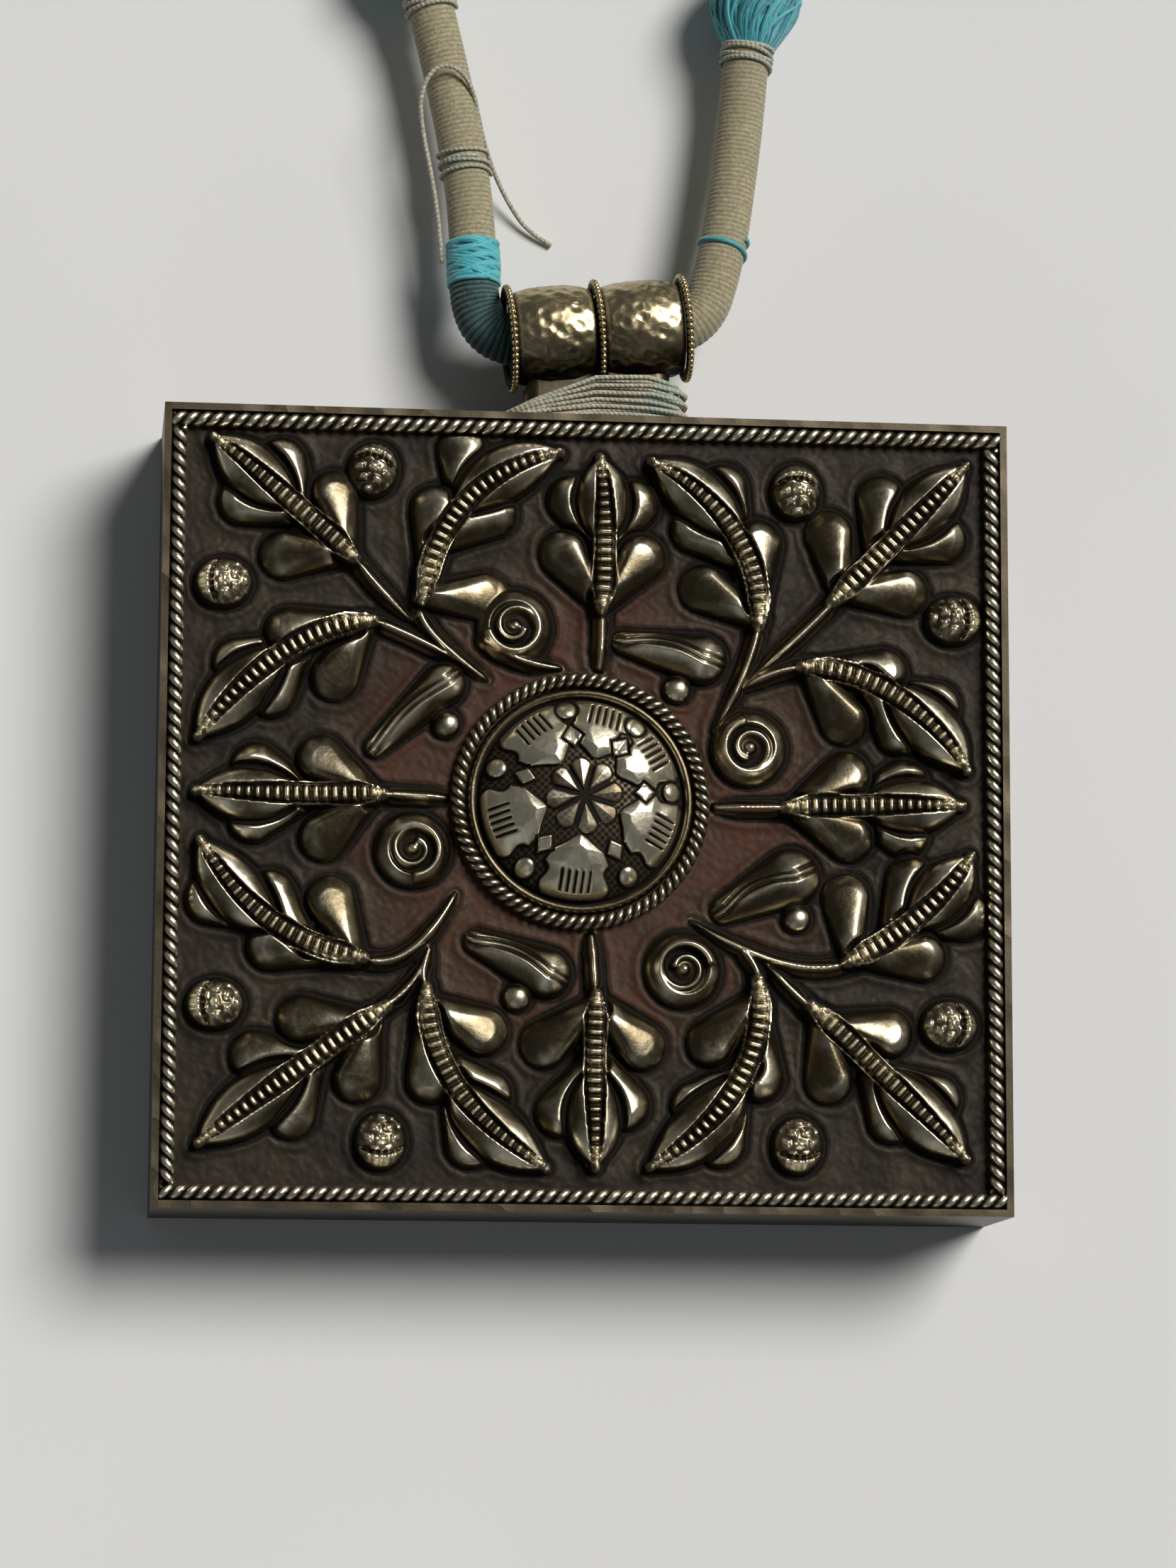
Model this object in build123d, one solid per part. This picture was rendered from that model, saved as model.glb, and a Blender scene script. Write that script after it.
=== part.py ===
from build123d import *
import os
from math import atan2, cos, degrees, hypot, pi, radians, sin, sqrt, tan

# Ghau amulet box lying on its back: a chased front half pushed over a plain tray, hung on a wrapped cord.
# Millimetres. The origin is the middle of the back's outer face, +Z out of the chased face, +Y to the bail.

# Case sheet
case_width = 85.0
case_height = 80.0
case_depth = 16.0
wall_sheet = 0.7
panel_sheet = 0.8
lip_height = 1.4
back_sheet = 0.8

# Tray inside the case
tray_sheet = 0.7
tray_height = 10.0
tray_clearance = 0.3

# Folded prayers and their ribbon
packet_width = 52.0
packet_height = 44.0
packet_thickness = 4.5
packet_edge_radius = 1.6
packet_centre = (-10.0, 0.0)
ribbon_width = 3.0
ribbon_thickness = 0.5
packet_seat = 0.05

# Twisted wire, as faceted rod of its outer size
border_wire = 1.6
ring_wire = 1.5
wire_fit = 0.03
wire_sides = 8
wire_draft = 30.0
ring_flats = 40

# Boss, a dome in flat facets
boss_centre = (-0.7, 0.8)
boss_radius = 10.3
boss_rise = 4.4
boss_sides = 30
dome_angles = (0, 30, 55, 75)
bezel_width = 1.1
bezel_height = 0.9
petal_headings = (75, 33, -23, -95, -163, 126)
petal_root = 4.3
petal_length = 5.5
petal_radius = 2.5
crown_petals = 8
crown_root = 0.4
crown_length = 3.8
crown_petal_radius = 1.2
petal_rise = 0.6

# Foliage
foliage_margin = 1.3
relief_sink = 0.3
wall_draft = 10.0
shoulder_share = 0.5
drop_angles = (70, 115, 158, 202, 245, 290)
drop_fullness = 1.3
rib_rise = 2.1
rib_half_widths = (0.95, 0.9, 0.5)
lobe_length = 6.3
lobe_radius = 1.8
lobe_rise = 1.7
lobe_gap = 0.2
blade_start = 0.48
blade_steps = 4
blade_belly = 3.2
blade_lap = 0.3
blade_rise = 1.5
strip_steps = 4
stem_rise = 1.1
stem_half_widths = (0.6, 0.55, 0.5)
bud_rise = 2.1
berry_radius = 2.3
berry_rise = 2.2
berry_sides = 10
cup_shift = 0.7
cup_rise = 1.1
scroll_radius = 3.6
scroll_rise = 2.3
scroll_mound = 1.3
scroll_turns = 1.5
scroll_facets = 10
scroll_ridge = 1.1
scroll_eye = 0.9
boss_room = 0.2

# Bail, its tube hammered in flats
bail_x = 1.4
bail_z = 9.0
bail_lean = 5.5
neck_length = 4.9
tongue_width = 15.0
tongue_thickness = 3.0
barrel_radius = 5.2
barrel_end_radius = 4.5
bail_bore_radius = 4.0
bulge_length = 7.0
bulge_crown = 2.6
hammer_flats = 24
bead_wire = 1.3
bead_wire_height = 1.1

# Neck cord
cord_radius = 2.4
floss_radius = 2.5
cord_sides = 8
bore_rest = 0.3
mouth_bend_radius = 4.6
inside_left = 7.0
inside_right = 7.0
left_corner = 12.35
right_corner = 10.9
whipping_end = 5.4
floss_end = 9.0
corner_share = 0.45

# Cord routes past the bail's mouths, chosen from the photograph
left_route = [(-11.5, 61.5, 6.9), (-12.6, 69.5, 6.2), (-14.2, 77.5, 5.7), (-16.0, 86.5, 5.7)]
right_route = [(14.0, 59.0, 7.0), (15.2, 67.5, 6.2), (16.2, 74.5, 5.7), (17.4, 81.6, 5.7)]
tuft_length = 11.0
tuft_radius = 5.2
tuft_belly = 0.6

# Coil of the rest of the cord
coil_centre = (0.6, 131.0)
coil_radius = 30.2
coil_gap = 0.55
coil_half_turns = 1
coil_sides = 6
coil_tuck = 2.2
coil_lift = 0.9
lead_run = 8.0
lead_straight = 9.0
tie_width = 3.0
tie_thickness = 0.6
tie_clearance = 0.3

# Threads
thread_sides = 4
stray_sides = 3
binding_thread = 0.8
binding_sides = 4
binding_gap = 0.45
binding_loops = 3
binding_room = 0.1
whip_thread = 0.6
whip_gap = 0.45
whip_room = 0.1
left_whip_turns = 1
right_whip_turns = 2
floss_turn_at = 0.55
stray_turns = 2
stray_turns_at = 0.45
stray_thread_size = 0.5
stray_route = [
    (-14.35, 57.5, 7.2),
    (-14.75, 62.0, 7.4),
    (-15.6, 67.0, 7.6),
    (-16.6, 71.5, 7.9),
    (-16.9, 75.0, 8.7),
    (-15.6, 77.6, 9.3),
    (-13.4, 78.0, 9.3),
    (-11.4, 76.2, 8.0),
    (-10.4, 72.6, 5.6),
    (-9.0, 69.0, 3.2),
    (-7.0, 65.6, 1.4),
    (-4.8, 62.8, 0.6),
    (-2.4, 61.6, 0.4),
]

# Places worked out from the sizes above
ground_z = case_depth - lip_height
panel_z = ground_z - panel_sheet
bail_y = case_height / 2 + neck_length + barrel_radius
cord_z = bail_z - bail_bore_radius + cord_radius + bore_rest
cord_size = 2 * cord_radius
coil_pitch = cord_size + coil_gap
field_width = case_width - 2 * (wall_sheet + border_wire + 2 * wire_fit)
field_height = case_height - 2 * (wall_sheet + border_wire + 2 * wire_fit)
ring_outer_radius = boss_radius + bezel_width + ring_wire + 2 * wire_fit
axis_along = (cos(radians(bail_lean)), sin(radians(bail_lean)))


def on_bail(distance):
    """A point of the cord's line inside the bail, at a distance from the bail's middle."""
    return (bail_x + distance * axis_along[0], bail_y + distance * axis_along[1], cord_z)


def towards(start, end, distance):
    """The point at a distance from start on the line to end."""
    line = Vector(*end) - Vector(*start)
    return tuple(Vector(*start) + line.normalized() * distance)


def frustum(radius, top_radius, height, sides):
    """A many-sided prism on Z = 0 that draws in from one corner radius to a smaller one."""
    draft = atan2((radius - top_radius) * cos(pi / sides), height)
    return extrude(RegularPolygon(radius, sides), amount=height, taper=degrees(draft))


# Sheet metal


def frame_band(width, height, sheet, low, high):
    """An upright rectangular band of sheet between two heights."""
    outline = Rectangle(width, height) - Rectangle(width - 2 * sheet, height - 2 * sheet)
    return Pos(0, 0, low) * extrude(outline, amount=high - low)


def make_side_band():
    """The front half's wall: it stands on the back plate and ends in the plain lip."""
    return frame_band(case_width, case_height, wall_sheet, back_sheet, case_depth)


def make_back_plate():
    """The plain back, as wide as the case."""
    return extrude(Rectangle(case_width, case_height), amount=back_sheet)


def make_tray_band():
    """The tray's wall, which slides inside the front half."""
    inset = 2 * (wall_sheet + tray_clearance)
    low = back_sheet
    return frame_band(case_width - inset, case_height - inset, tray_sheet, low, low + tray_height)


# Foliage of the front panel


def parabola(values, share):
    """The parabola through three values at the shares 0, a half and 1."""
    weights = ((2 * share - 1) * (share - 1), 4 * share * (1 - share), share * (2 * share - 1))
    return sum(weight * value for weight, value in zip(weights, values))


def spine_point(spine, share):
    """A point on the parabola through three points, and its heading in degrees."""
    point = [parabola([corner[axis] for corner in spine], share) for axis in (0, 1)]
    slopes = (4 * share - 3, 4 - 8 * share, 4 * share - 1)
    run = [sum(slope * corner[axis] for slope, corner in zip(slopes, spine)) for axis in (0, 1)]
    return point, degrees(atan2(run[1], run[0]))


def beside(spine, share, side, offset):
    """A point beside the spine, offset to its left (side 1) or right (side -1), and the heading there."""
    point, heading = spine_point(spine, share)
    turn = radians(heading + 90 * side)
    return (point[0] + offset * cos(turn), point[1] + offset * sin(turn)), heading


def strip(spine, half_widths):
    """A faceted strip along a parabola through three points, with a half width at each, anticlockwise."""
    edges = {}
    for side in (-1, 1):
        edges[side] = []
        for step in range(strip_steps + 1):
            share = step / strip_steps
            point, _ = beside(spine, share, side, parabola(half_widths, share))
            edges[side].append(point)
    return make_face(Polyline(*edges[-1], *reversed(edges[1]), close=True))


def emboss(outline, rise, draft=wall_draft):
    """An anticlockwise outline raised from the ground with drafted walls, its foot sunk in the sheet."""
    return extrude(Pos(0, 0, ground_z - relief_sink) * outline, amount=rise + relief_sink, taper=draft)


def ridge(spine, half_widths, rise):
    """A strip raised with upright walls, because it bends both ways."""
    return emboss(strip(spine, half_widths), rise, draft=0)


def mound(outline, half_width, rise):
    """A plump form: drafted walls to half its rise, then shoulders that slope in over them."""
    walls = emboss(outline, rise / 2)
    shoulder_draft = atan2(shoulder_share * half_width, rise / 2)
    shoulders = extrude(walls.faces().sort_by(Axis.Z)[-1], amount=rise / 2, taper=degrees(shoulder_draft))
    return [walls, shoulders]


def teardrop(root, heading, length, radius):
    """A faceted teardrop from its pointed root: a cosine along, a sine times a half-angle sine across."""
    points = [(0, 0)]
    for angle in drop_angles:
        turn = radians(angle)
        across = drop_fullness * radius * sin(turn) * sin(turn / 2)
        points.append((length * (1 - cos(turn)) / 2, -across))
    outline = make_face(Polyline(*points, close=True))
    return Location((root[0], root[1], 0), (0, 0, heading)) * outline


def blade(spine, side):
    """Half of a leaf's pointed end: straight just past the rib's line, a parabola outside, anticlockwise."""
    points = []
    for step in range(blade_steps + 1):
        along = step / blade_steps
        offset = blade_belly * 4 * along * (1 - along) - blade_lap
        point, _ = beside(spine, blade_start + (1 - blade_start) * along, side, offset)
        points.append(point)
    if side > 0:
        points.reverse()
    return make_face(Polyline(*points, close=True))


def leaf(base, middle, tip, left_lobes, right_lobes):
    """A leaf: a raised rib, a pointed end in two blades, and lobes at (share of rib, angle to rib)."""
    spine = [drawn(base), drawn(middle), drawn(tip)]
    forms = [ridge(spine, rib_half_widths, rib_rise)]
    for side, lobes in ((1, left_lobes), (-1, right_lobes)):
        forms.append(emboss(blade(spine, side), blade_rise))
        for share, angle in lobes:
            root, heading = beside(spine, share, side, lobe_gap)
            outline = teardrop(root, heading + side * angle, lobe_length, lobe_radius)
            forms += mound(outline, lobe_radius, lobe_rise)
    return forms


def berry(centre, cup_heading):
    """A domed berry in a low cup that shows on one side."""
    x, y = drawn(centre)
    turn = radians(cup_heading)
    outline = RegularPolygon(berry_radius, berry_sides)
    forms = mound(Pos(x, y) * outline, berry_radius, berry_rise)
    forms.append(emboss(Pos(x + cup_shift * cos(turn), y + cup_shift * sin(turn)) * outline, cup_rise))
    return forms


def scroll_edge(start_radius):
    """One edge of a scroll's ridge: a spiral that winds steadily in to the eye."""
    points = []
    for step in range(int(scroll_turns * scroll_facets) + 1):
        turn = 2 * pi * step / scroll_facets
        radius = start_radius + (scroll_eye - start_radius) * step / (scroll_turns * scroll_facets)
        points.append((radius * cos(turn), radius * sin(turn)))
    return points


def scroll(centre, heading):
    """A volute: a ridge spiralling in over a low mound, its outer end towards a heading."""
    x, y = drawn(centre)
    place = Location((x, y, 0), (0, 0, heading))
    outer = scroll_edge(scroll_radius)
    inner = scroll_edge(scroll_radius - scroll_ridge)
    spiral = place * make_face(Polyline(*outer, *reversed(inner[:-1]), close=True))
    disc = place * RegularPolygon(scroll_radius, scroll_facets)
    return [emboss(spiral, scroll_rise, draft=0)] + mound(disc, scroll_radius, scroll_mound)


def bud(root, end, radius):
    """A plump bud from its pointed root to its round end."""
    start = drawn(root)
    tip = drawn(end)
    run = (tip[0] - start[0], tip[1] - start[1])
    outline = teardrop(start, degrees(atan2(run[1], run[0])), hypot(*run), radius)
    return mound(outline, radius, bud_rise)


# Sixteen leaves: base, middle and tip of the rib, then lobes as (share of rib, angle) on each side
LEAVES = [
    ((-23.4, 24.6), (-30.5, 30.7), (-37.6, 36.6), [(0.06, 44), (0.36, 28)], [(0.05, 37), (0.34, 26)]),
    ((-16.6, 20.6), (-12.4, 30.6), (-2.9, 36.0), [(0.14, 18), (0.47, 40)], [(0.02, 66), (0.27, 36)]),
    ((-21.5, 18.4), (-30.3, 15.0), (-38.7, 6.4), [(0.05, 42), (0.38, 30)], [(0.12, 14), (0.42, 14)]),
    ((1.3, 20.2), (1.5, 28.0), (1.1, 35.6), [(0.05, 40), (0.38, 32)], [(0.05, 40), (0.36, 32)]),
    ((17.1, 18.8), (14.7, 28.0), (6.3, 35.3), [(0.05, 48), (0.35, 36)], [(0.12, 16), (0.44, 14)]),
    ((24.5, 21.4), (31.4, 28.4), (38.2, 35.7), [(0.08, 56), (0.34, 40)], [(0.1, 46), (0.4, 34)]),
    ((21.4, 14.7), (30.4, 12.2), (38.2, 4.6), [(0.12, 15), (0.43, 12)], [(0.06, 42), (0.35, 32)]),
    ((19.8, 0.5), (29.0, 0.8), (37.6, 1.0), [(0.06, 32), (0.35, 24)], [(0.06, 30), (0.35, 26)]),
    ((25.9, -14.9), (33.0, -10.3), (38.5, -4.0), [(0.05, 64), (0.3, 36)], [(0.1, 34), (0.42, 28)]),
    ((22.2, -19.3), (30.0, -26.7), (37.7, -34.3), [(0.12, 36), (0.45, 22)], [(0.08, 40), (0.37, 22)]),
    ((17.0, -16.8), (15.0, -27.0), (6.3, -35.5), [(0.16, 13), (0.5, 15)], [(0.1, 38), (0.42, 28)]),
    ((0.9, -18.6), (0.7, -27.0), (0.9, -35.6), [(0.05, 50), (0.33, 32)], [(0.07, 52), (0.38, 32)]),
    ((-15.9, -18.2), (-13.0, -27.8), (-4.0, -35.7), [(0.08, 50), (0.33, 30)], [(0.13, 13), (0.48, 16)]),
    ((-19.8, -20.0), (-28.8, -26.6), (-38.0, -33.7), [(0.08, 42), (0.38, 32)], [(0.12, 38), (0.37, 36)]),
    ((-22.1, -15.3), (-31.4, -11.8), (-38.3, -3.9), [(0.14, 15), (0.5, 15)], [(0.04, 46), (0.27, 30)]),
    ((-20.4, 1.0), (-30.0, 0.8), (-38.8, 1.0), [(0.06, 42), (0.36, 22)], [(0.05, 36), (0.36, 28)]),
]

# Berries between the leaves: centre and the side on which the cup shows
BERRIES = [
    ((-21.7, 33.8), 75),
    ((-36.4, 22.0), 180),
    ((21.0, 32.7), 90),
    ((37.0, 20.0), 0),
    ((36.3, -21.0), 0),
    ((21.0, -33.2), 270),
    ((-20.2, -33.2), 270),
    ((-36.6, -20.0), 180),
]

# Scrolls by the boss: centre and the heading of the outer end
SCROLLS = [((-7.4, 18.2), 190), ((16.2, 6.4), 100), ((9.6, -15.9), 10), ((-17.3, -4.4), 270)]

# Buds beside the scrolls: pointed root, round end and radius
BUDS = [
    ((-21.2, 5.8), (-13.2, 13.4), 2.2),
    ((3.6, 17.0), (13.4, 15.0), 2.6),
    ((13.8, -9.8), (22.6, -5.4), 3.0),
    ((-11.0, -13.4), (-2.2, -17.2), 2.5),
]

# Stems from the boss's ring to the leaves
STEMS = [
    ((-23.2, 24.4), (-20.6, 21.4), (-17.6, 18.6)),
    ((-16.9, 20.3), (-15.4, 17.0), (-10.0, 12.8)),
    ((-21.5, 18.4), (-17.0, 16.6), (-11.6, 13.8)),
    ((17.0, 18.4), (15.4, 13.4), (12.6, 8.0)),
    ((24.6, 21.3), (20.3, 17.0), (15.4, 12.6)),
    ((21.4, 14.7), (18.0, 13.8), (15.0, 12.0)),
    ((25.7, -15.1), (19.0, -15.0), (10.4, -11.0)),
    ((22.0, -19.3), (19.6, -17.0), (17.4, -14.6)),
    ((17.0, -16.6), (16.4, -15.0), (14.6, -12.8)),
    ((-22.0, -15.4), (-17.4, -14.4), (-13.0, -8.6)),
    ((-19.9, -20.0), (-17.0, -17.2), (-15.6, -13.6)),
    ((-15.9, -18.0), (-16.2, -16.4), (-15.4, -14.0)),
    ((1.3, 20.0), (1.3, 17.0), (1.0, 13.0)),
    ((19.6, 0.5), (16.0, 0.4), (12.0, 0.5)),
    ((0.8, -18.4), (0.6, -15.0), (0.3, -11.5)),
    ((-20.2, 1.0), (-17.0, 0.9), (-13.0, 0.8)),
]


# How far the leaves' tips reach, which sets the scale that fits the drawing to the case
drawn_reach = [max(abs(leaf_values[2][axis]) for leaf_values in LEAVES) for axis in (0, 1)]


def drawn(point):
    """A point of the drawn foliage, stretched until the leaves' tips keep their margin to the border wire."""
    x_scale = (field_width / 2 - foliage_margin) / drawn_reach[0]
    y_scale = (field_height / 2 - foliage_margin) / drawn_reach[1]
    return (point[0] * x_scale, point[1] * y_scale)


def make_front_panel():
    """The chased sheet: all relief in one piece with it, kept clear of the boss and the border wire."""
    width = case_width - 2 * wall_sheet
    height = case_height - 2 * wall_sheet
    sheet = Pos(0, 0, panel_z) * extrude(Rectangle(width, height), amount=panel_sheet)
    forms = []
    for values in LEAVES:
        forms += leaf(*values)
    for centre, heading in BERRIES:
        forms += berry(centre, heading)
    for centre, heading in SCROLLS:
        forms += scroll(centre, heading)
    for values in BUDS:
        forms += bud(*values)
    for spine in STEMS:
        forms.append(ridge([drawn(point) for point in spine], stem_half_widths, stem_rise))
    relief_height = 2 * case_depth
    margin = Rectangle(width, height) - Rectangle(field_width, field_height)
    boss_seat = Pos(*boss_centre) * RegularPolygon(ring_outer_radius + boss_room, ring_flats)
    keep_out = [Pos(0, 0, ground_z) * extrude(margin, amount=relief_height)]
    keep_out.append(Pos(0, 0, ground_z) * extrude(boss_seat, amount=relief_height))
    return sheet + forms - keep_out


# Wire and boss


def make_border_wires():
    """Four straight lengths of border wire, butted at the corners inside the lip."""
    offset = wall_sheet + wire_fit + border_wire / 2
    z = ground_z + wire_fit + border_wire / 2
    long = case_width - 2 * (wall_sheet + wire_fit)
    short = case_height - 2 * (wall_sheet + border_wire + 2 * wire_fit)
    section = RegularPolygon(border_wire / 2, wire_sides, major_radius=False, rotation=180 / wire_sides)
    across = Rot(0, 90, 0) * extrude(section, amount=long / 2, both=True)
    upright = Rot(90, 0, 0) * extrude(section, amount=short / 2, both=True)
    return {
        "border_wire_top": Pos(0, case_height / 2 - offset, z) * across,
        "border_wire_bottom": Pos(0, offset - case_height / 2, z) * across,
        "border_wire_left": Pos(offset - case_width / 2, 0, z) * upright,
        "border_wire_right": Pos(case_width / 2 - offset, 0, z) * upright,
    }


def boss_petals():
    """Outlines of the boss's petals: a wide ring of them, and the flower at its crown."""
    outlines = []
    for heading in petal_headings:
        turn = radians(heading)
        root = (petal_root * cos(turn), petal_root * sin(turn))
        outlines.append(teardrop(root, heading, petal_length, petal_radius))
    for petal in range(crown_petals):
        heading = 360 / crown_petals * (petal + 0.5)
        turn = radians(heading)
        root = (crown_root * cos(turn), crown_root * sin(turn))
        outlines.append(teardrop(root, heading, crown_length, crown_petal_radius))
    return outlines


def dome(radius, rise):
    """A faceted dome on Z = 0: drafted tiers that follow a quarter ellipse up to a small flat."""
    tiers = []
    for low, high in zip(dome_angles, dome_angles[1:]):
        bottom = rise * sin(radians(low))
        height = rise * sin(radians(high)) - bottom
        tier = frustum(radius * cos(radians(low)), radius * cos(radians(high)), height, boss_sides)
        tiers.append(Pos(0, 0, bottom) * tier)
    return tiers[0] + tiers[1:]


def make_rosette_boss():
    """The domed boss: bezel, dome, and petals that stand a little proud of the dome."""
    bezel = extrude(RegularPolygon(boss_radius + bezel_width, boss_sides), amount=bezel_height)
    seat = Pos(0, 0, bezel_height)
    body = bezel + seat * dome(boss_radius, boss_rise - bezel_height)
    skin = seat * dome(boss_radius, boss_rise - bezel_height + petal_rise)
    prisms = [extrude(seat * outline, amount=2 * boss_rise, dir=(0, 0, 1)) for outline in boss_petals()]
    petals = [prism & skin for prism in prisms]
    return Pos(*boss_centre, ground_z) * (body + petals)


def wire_ring(inner_radius, width, height, flats):
    """A wire ring round Z, its middle on Z = 0: flats with bevelled sides, and a bore of as many flats."""
    outer_radius = inner_radius + height
    bevel = width / 2 * tan(radians(wire_draft))
    half = frustum(outer_radius, outer_radius - bevel, width / 2, flats)
    bore = extrude(RegularPolygon(inner_radius, flats), amount=width, both=True)
    return half + mirror(half, about=Plane.XY) - bore


def make_boss_ring():
    """The twisted ring that lies round the boss's bezel."""
    inner_radius = (boss_radius + bezel_width + wire_fit) / cos(pi / ring_flats)
    place = Pos(*boss_centre, ground_z + wire_fit + ring_wire / 2)
    return place * wire_ring(inner_radius, ring_wire, ring_wire, ring_flats)


# Bail, made along X round its own middle and then leaned into place

barrel_length = bead_wire / 2 + bulge_length + bead_wire
bail_half_length = barrel_length


def bail_place():
    """Where the bail's own frame sits: its X axis along the tube."""
    return Location((bail_x, bail_y, bail_z), (0, 0, bail_lean))


def barrel():
    """The right-hand barrel without its bore: a neck for the rings, and the bulge between their places."""
    middle = bead_wire / 2 + bulge_length / 2
    slope = (bulge_length - bulge_crown) / 2
    crown = extrude(RegularPolygon(barrel_radius, hammer_flats), amount=bulge_crown / 2, both=True)
    shoulder = Pos(0, 0, bulge_crown / 2) * frustum(barrel_radius, barrel_end_radius, slope, hammer_flats)
    neck = extrude(RegularPolygon(barrel_end_radius, hammer_flats), amount=barrel_length)
    bulge = crown + [shoulder, mirror(shoulder, about=Plane.XY)]
    return Rot(0, 90, 0) * (neck + Pos(0, 0, middle) * bulge)


def make_bail():
    """Two barrels end to end, with a wire ring at each end and over their joint."""
    right = barrel() - Rot(0, 90, 0) * Cylinder(bail_bore_radius, 4 * barrel_length)
    left = Rot(0, 0, 180) * right
    ring = Rot(0, 90, 0) * wire_ring(barrel_end_radius, bead_wire, bead_wire_height, hammer_flats)
    end = bail_half_length - bead_wire / 2
    pieces = {
        "bail_barrel_left": left,
        "bail_barrel_right": right,
        "bail_ring_left": Pos(-end, 0, 0) * ring,
        "bail_ring_middle": ring,
        "bail_ring_right": Pos(end, 0, 0) * ring,
    }
    return {name: bail_place() * piece for name, piece in pieces.items()}


def make_bail_tongue():
    """The flat neck from the case to the tube, its top shaped to the barrels and rings."""
    low = case_height / 2
    length = bail_y - low
    section = Plane.XZ * SlotOverall(tongue_width, tongue_thickness)
    tongue = Pos(bail_x, low, bail_z) * extrude(section, amount=length, dir=(0, 1, 0))
    half = barrel()
    ring_radius = barrel_end_radius + bead_wire_height + wire_fit
    ring_reach = bead_wire / 2 + wire_fit
    ring = Rot(0, 90, 0) * extrude(RegularPolygon(ring_radius, hammer_flats), amount=ring_reach, both=True)
    end = bail_half_length - bead_wire / 2
    tube = [half, Rot(0, 0, 180) * half, ring, Pos(end, 0, 0) * ring, Pos(-end, 0, 0) * ring]
    return tongue - [bail_place() * piece for piece in tube]


# Cord and threads


def corner_radii(points):
    """The largest arc that each corner's two runs allow."""
    radii = []
    for before, corner, after in zip(points, points[1:], points[2:]):
        run_in = Vector(*corner) - Vector(*before)
        run_out = Vector(*after) - Vector(*corner)
        half_turn = radians(run_in.get_angle(run_out) / 2)
        radii.append(corner_share * min(run_in.length, run_out.length) / tan(half_turn))
    return radii


def tube(path, radius, sides=cord_sides):
    """A faceted tube swept along a path of lines and arcs, one flat facing up at its start."""
    level = Vector(0, 0, 1).cross(path % 0)
    start = Plane(origin=path @ 0, x_dir=level, z_dir=path % 0)
    return sweep(start * RegularPolygon(radius, sides, rotation=90 - 180 / sides), path=path)


def rounded(points, first_radius=None):
    """Straight runs joined by tangent arcs, the first corner's radius given where the bend is tight."""
    radii = corner_radii(points)
    if first_radius is not None:
        radii[0] = first_radius
    print("radii", [round(radius, 1) for radius in radii])
    return FilletPolyline(*points, radius=radii)


def half_turns(points, tangent):
    """Arcs through the points, each carrying on the tangent of the one before."""
    arcs = []
    heading = tangent
    for start, end in zip(points, points[1:]):
        arcs.append(TangentArc(start, end, tangent=heading))
        heading = arcs[-1] % 1
    return arcs


def climbing_turns(radius, rise, count):
    """Points of a winding round Z: half turns in pairs of quarter arcs, each climbing by rise."""
    sag = sqrt(radius * radius + rise * rise / 4)
    points = [(radius, 0, 0)]
    for step in range(count):
        side = 1 if step % 2 == 0 else -1
        points.append((0, side * sag, rise * (step + 0.5)))
        points.append((-side * radius, 0, rise * (step + 1)))
    return points


def winding(start, along, radius, thread, gap, turns, sides=thread_sides):
    """A thread wound round a line: one unbroken tube of whole turns."""
    pitch = thread + gap
    points = climbing_turns(radius, pitch / 2, 2 * turns)
    path = Wire(half_turns(points, (0, 1, 0)))
    return Plane(origin=start, z_dir=along) * tube(path, thread / 2, sides)


def report_gap(name, path, size, turn_length):
    """Print a wound tube's least gap to itself, from points along its line."""
    count = int(path.length / (size / 3))
    points = [path @ (index / count) for index in range(count + 1)]
    skip = int(turn_length / (path.length / count))
    least = min((points[i] - points[j]).length for i in range(count + 1) for j in range(i + skip, count + 1))
    print(name, "least gap", round(least - size, 3))


left_points = [on_bail(-inside_left), on_bail(-left_corner)] + left_route
right_points = [on_bail(inside_right), on_bail(right_corner)] + right_route


def make_strands():
    """The neck cord's stretches on both sides of the bail, each meeting the next face to face."""
    corner = left_points[1]
    band_start = towards(corner, left_points[2], whipping_end)
    band_end = towards(corner, left_points[2], floss_end)
    whipping = rounded([left_points[0], corner, band_start], mouth_bend_radius)
    left = rounded([band_end] + left_points[2:])
    right = rounded(right_points, mouth_bend_radius)
    pieces = {
        "cord_in_bail": tube(Line(on_bail(-inside_left), on_bail(inside_right)), cord_radius),
        "left_whipping": tube(whipping, cord_radius),
        "left_floss_band": tube(Line(band_start, band_end), floss_radius),
        "left_cord": tube(left, cord_radius),
        "right_cord": tube(right, cord_radius),
    }
    for name, path in (("left_whipping", whipping), ("left_cord", left), ("right_cord", right)):
        section = RegularPolygon(cord_radius, cord_sides).area
        print(name, "volume over section times length", round(pieces[name].volume / section / path.length, 4))
    return pieces


def tuft_axis(points):
    """Start, end and heading of the tuft that carries on a strand's last run."""
    start = Vector(*points[-1])
    heading = (start - Vector(*points[-2])).normalized()
    return start, start + heading * tuft_length, heading


def make_tuft(points):
    """A floss tuft: it swells from the cord and draws in to it again."""
    start, _, heading = tuft_axis(points)
    belly = start + heading * (tuft_length * tuft_belly)
    lower = frustum(tuft_radius, cord_radius, tuft_length * tuft_belly, cord_sides)
    upper = frustum(tuft_radius, cord_radius, tuft_length * (1 - tuft_belly), cord_sides)
    return Plane(origin=belly, z_dir=heading) * (upper + mirror(lower, about=Plane.XY))


def on_run(start, end, share):
    """A point on a straight run and the run's heading."""
    run = Vector(*end) - Vector(*start)
    return Vector(*start) + run * share, run.normalized()


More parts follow.
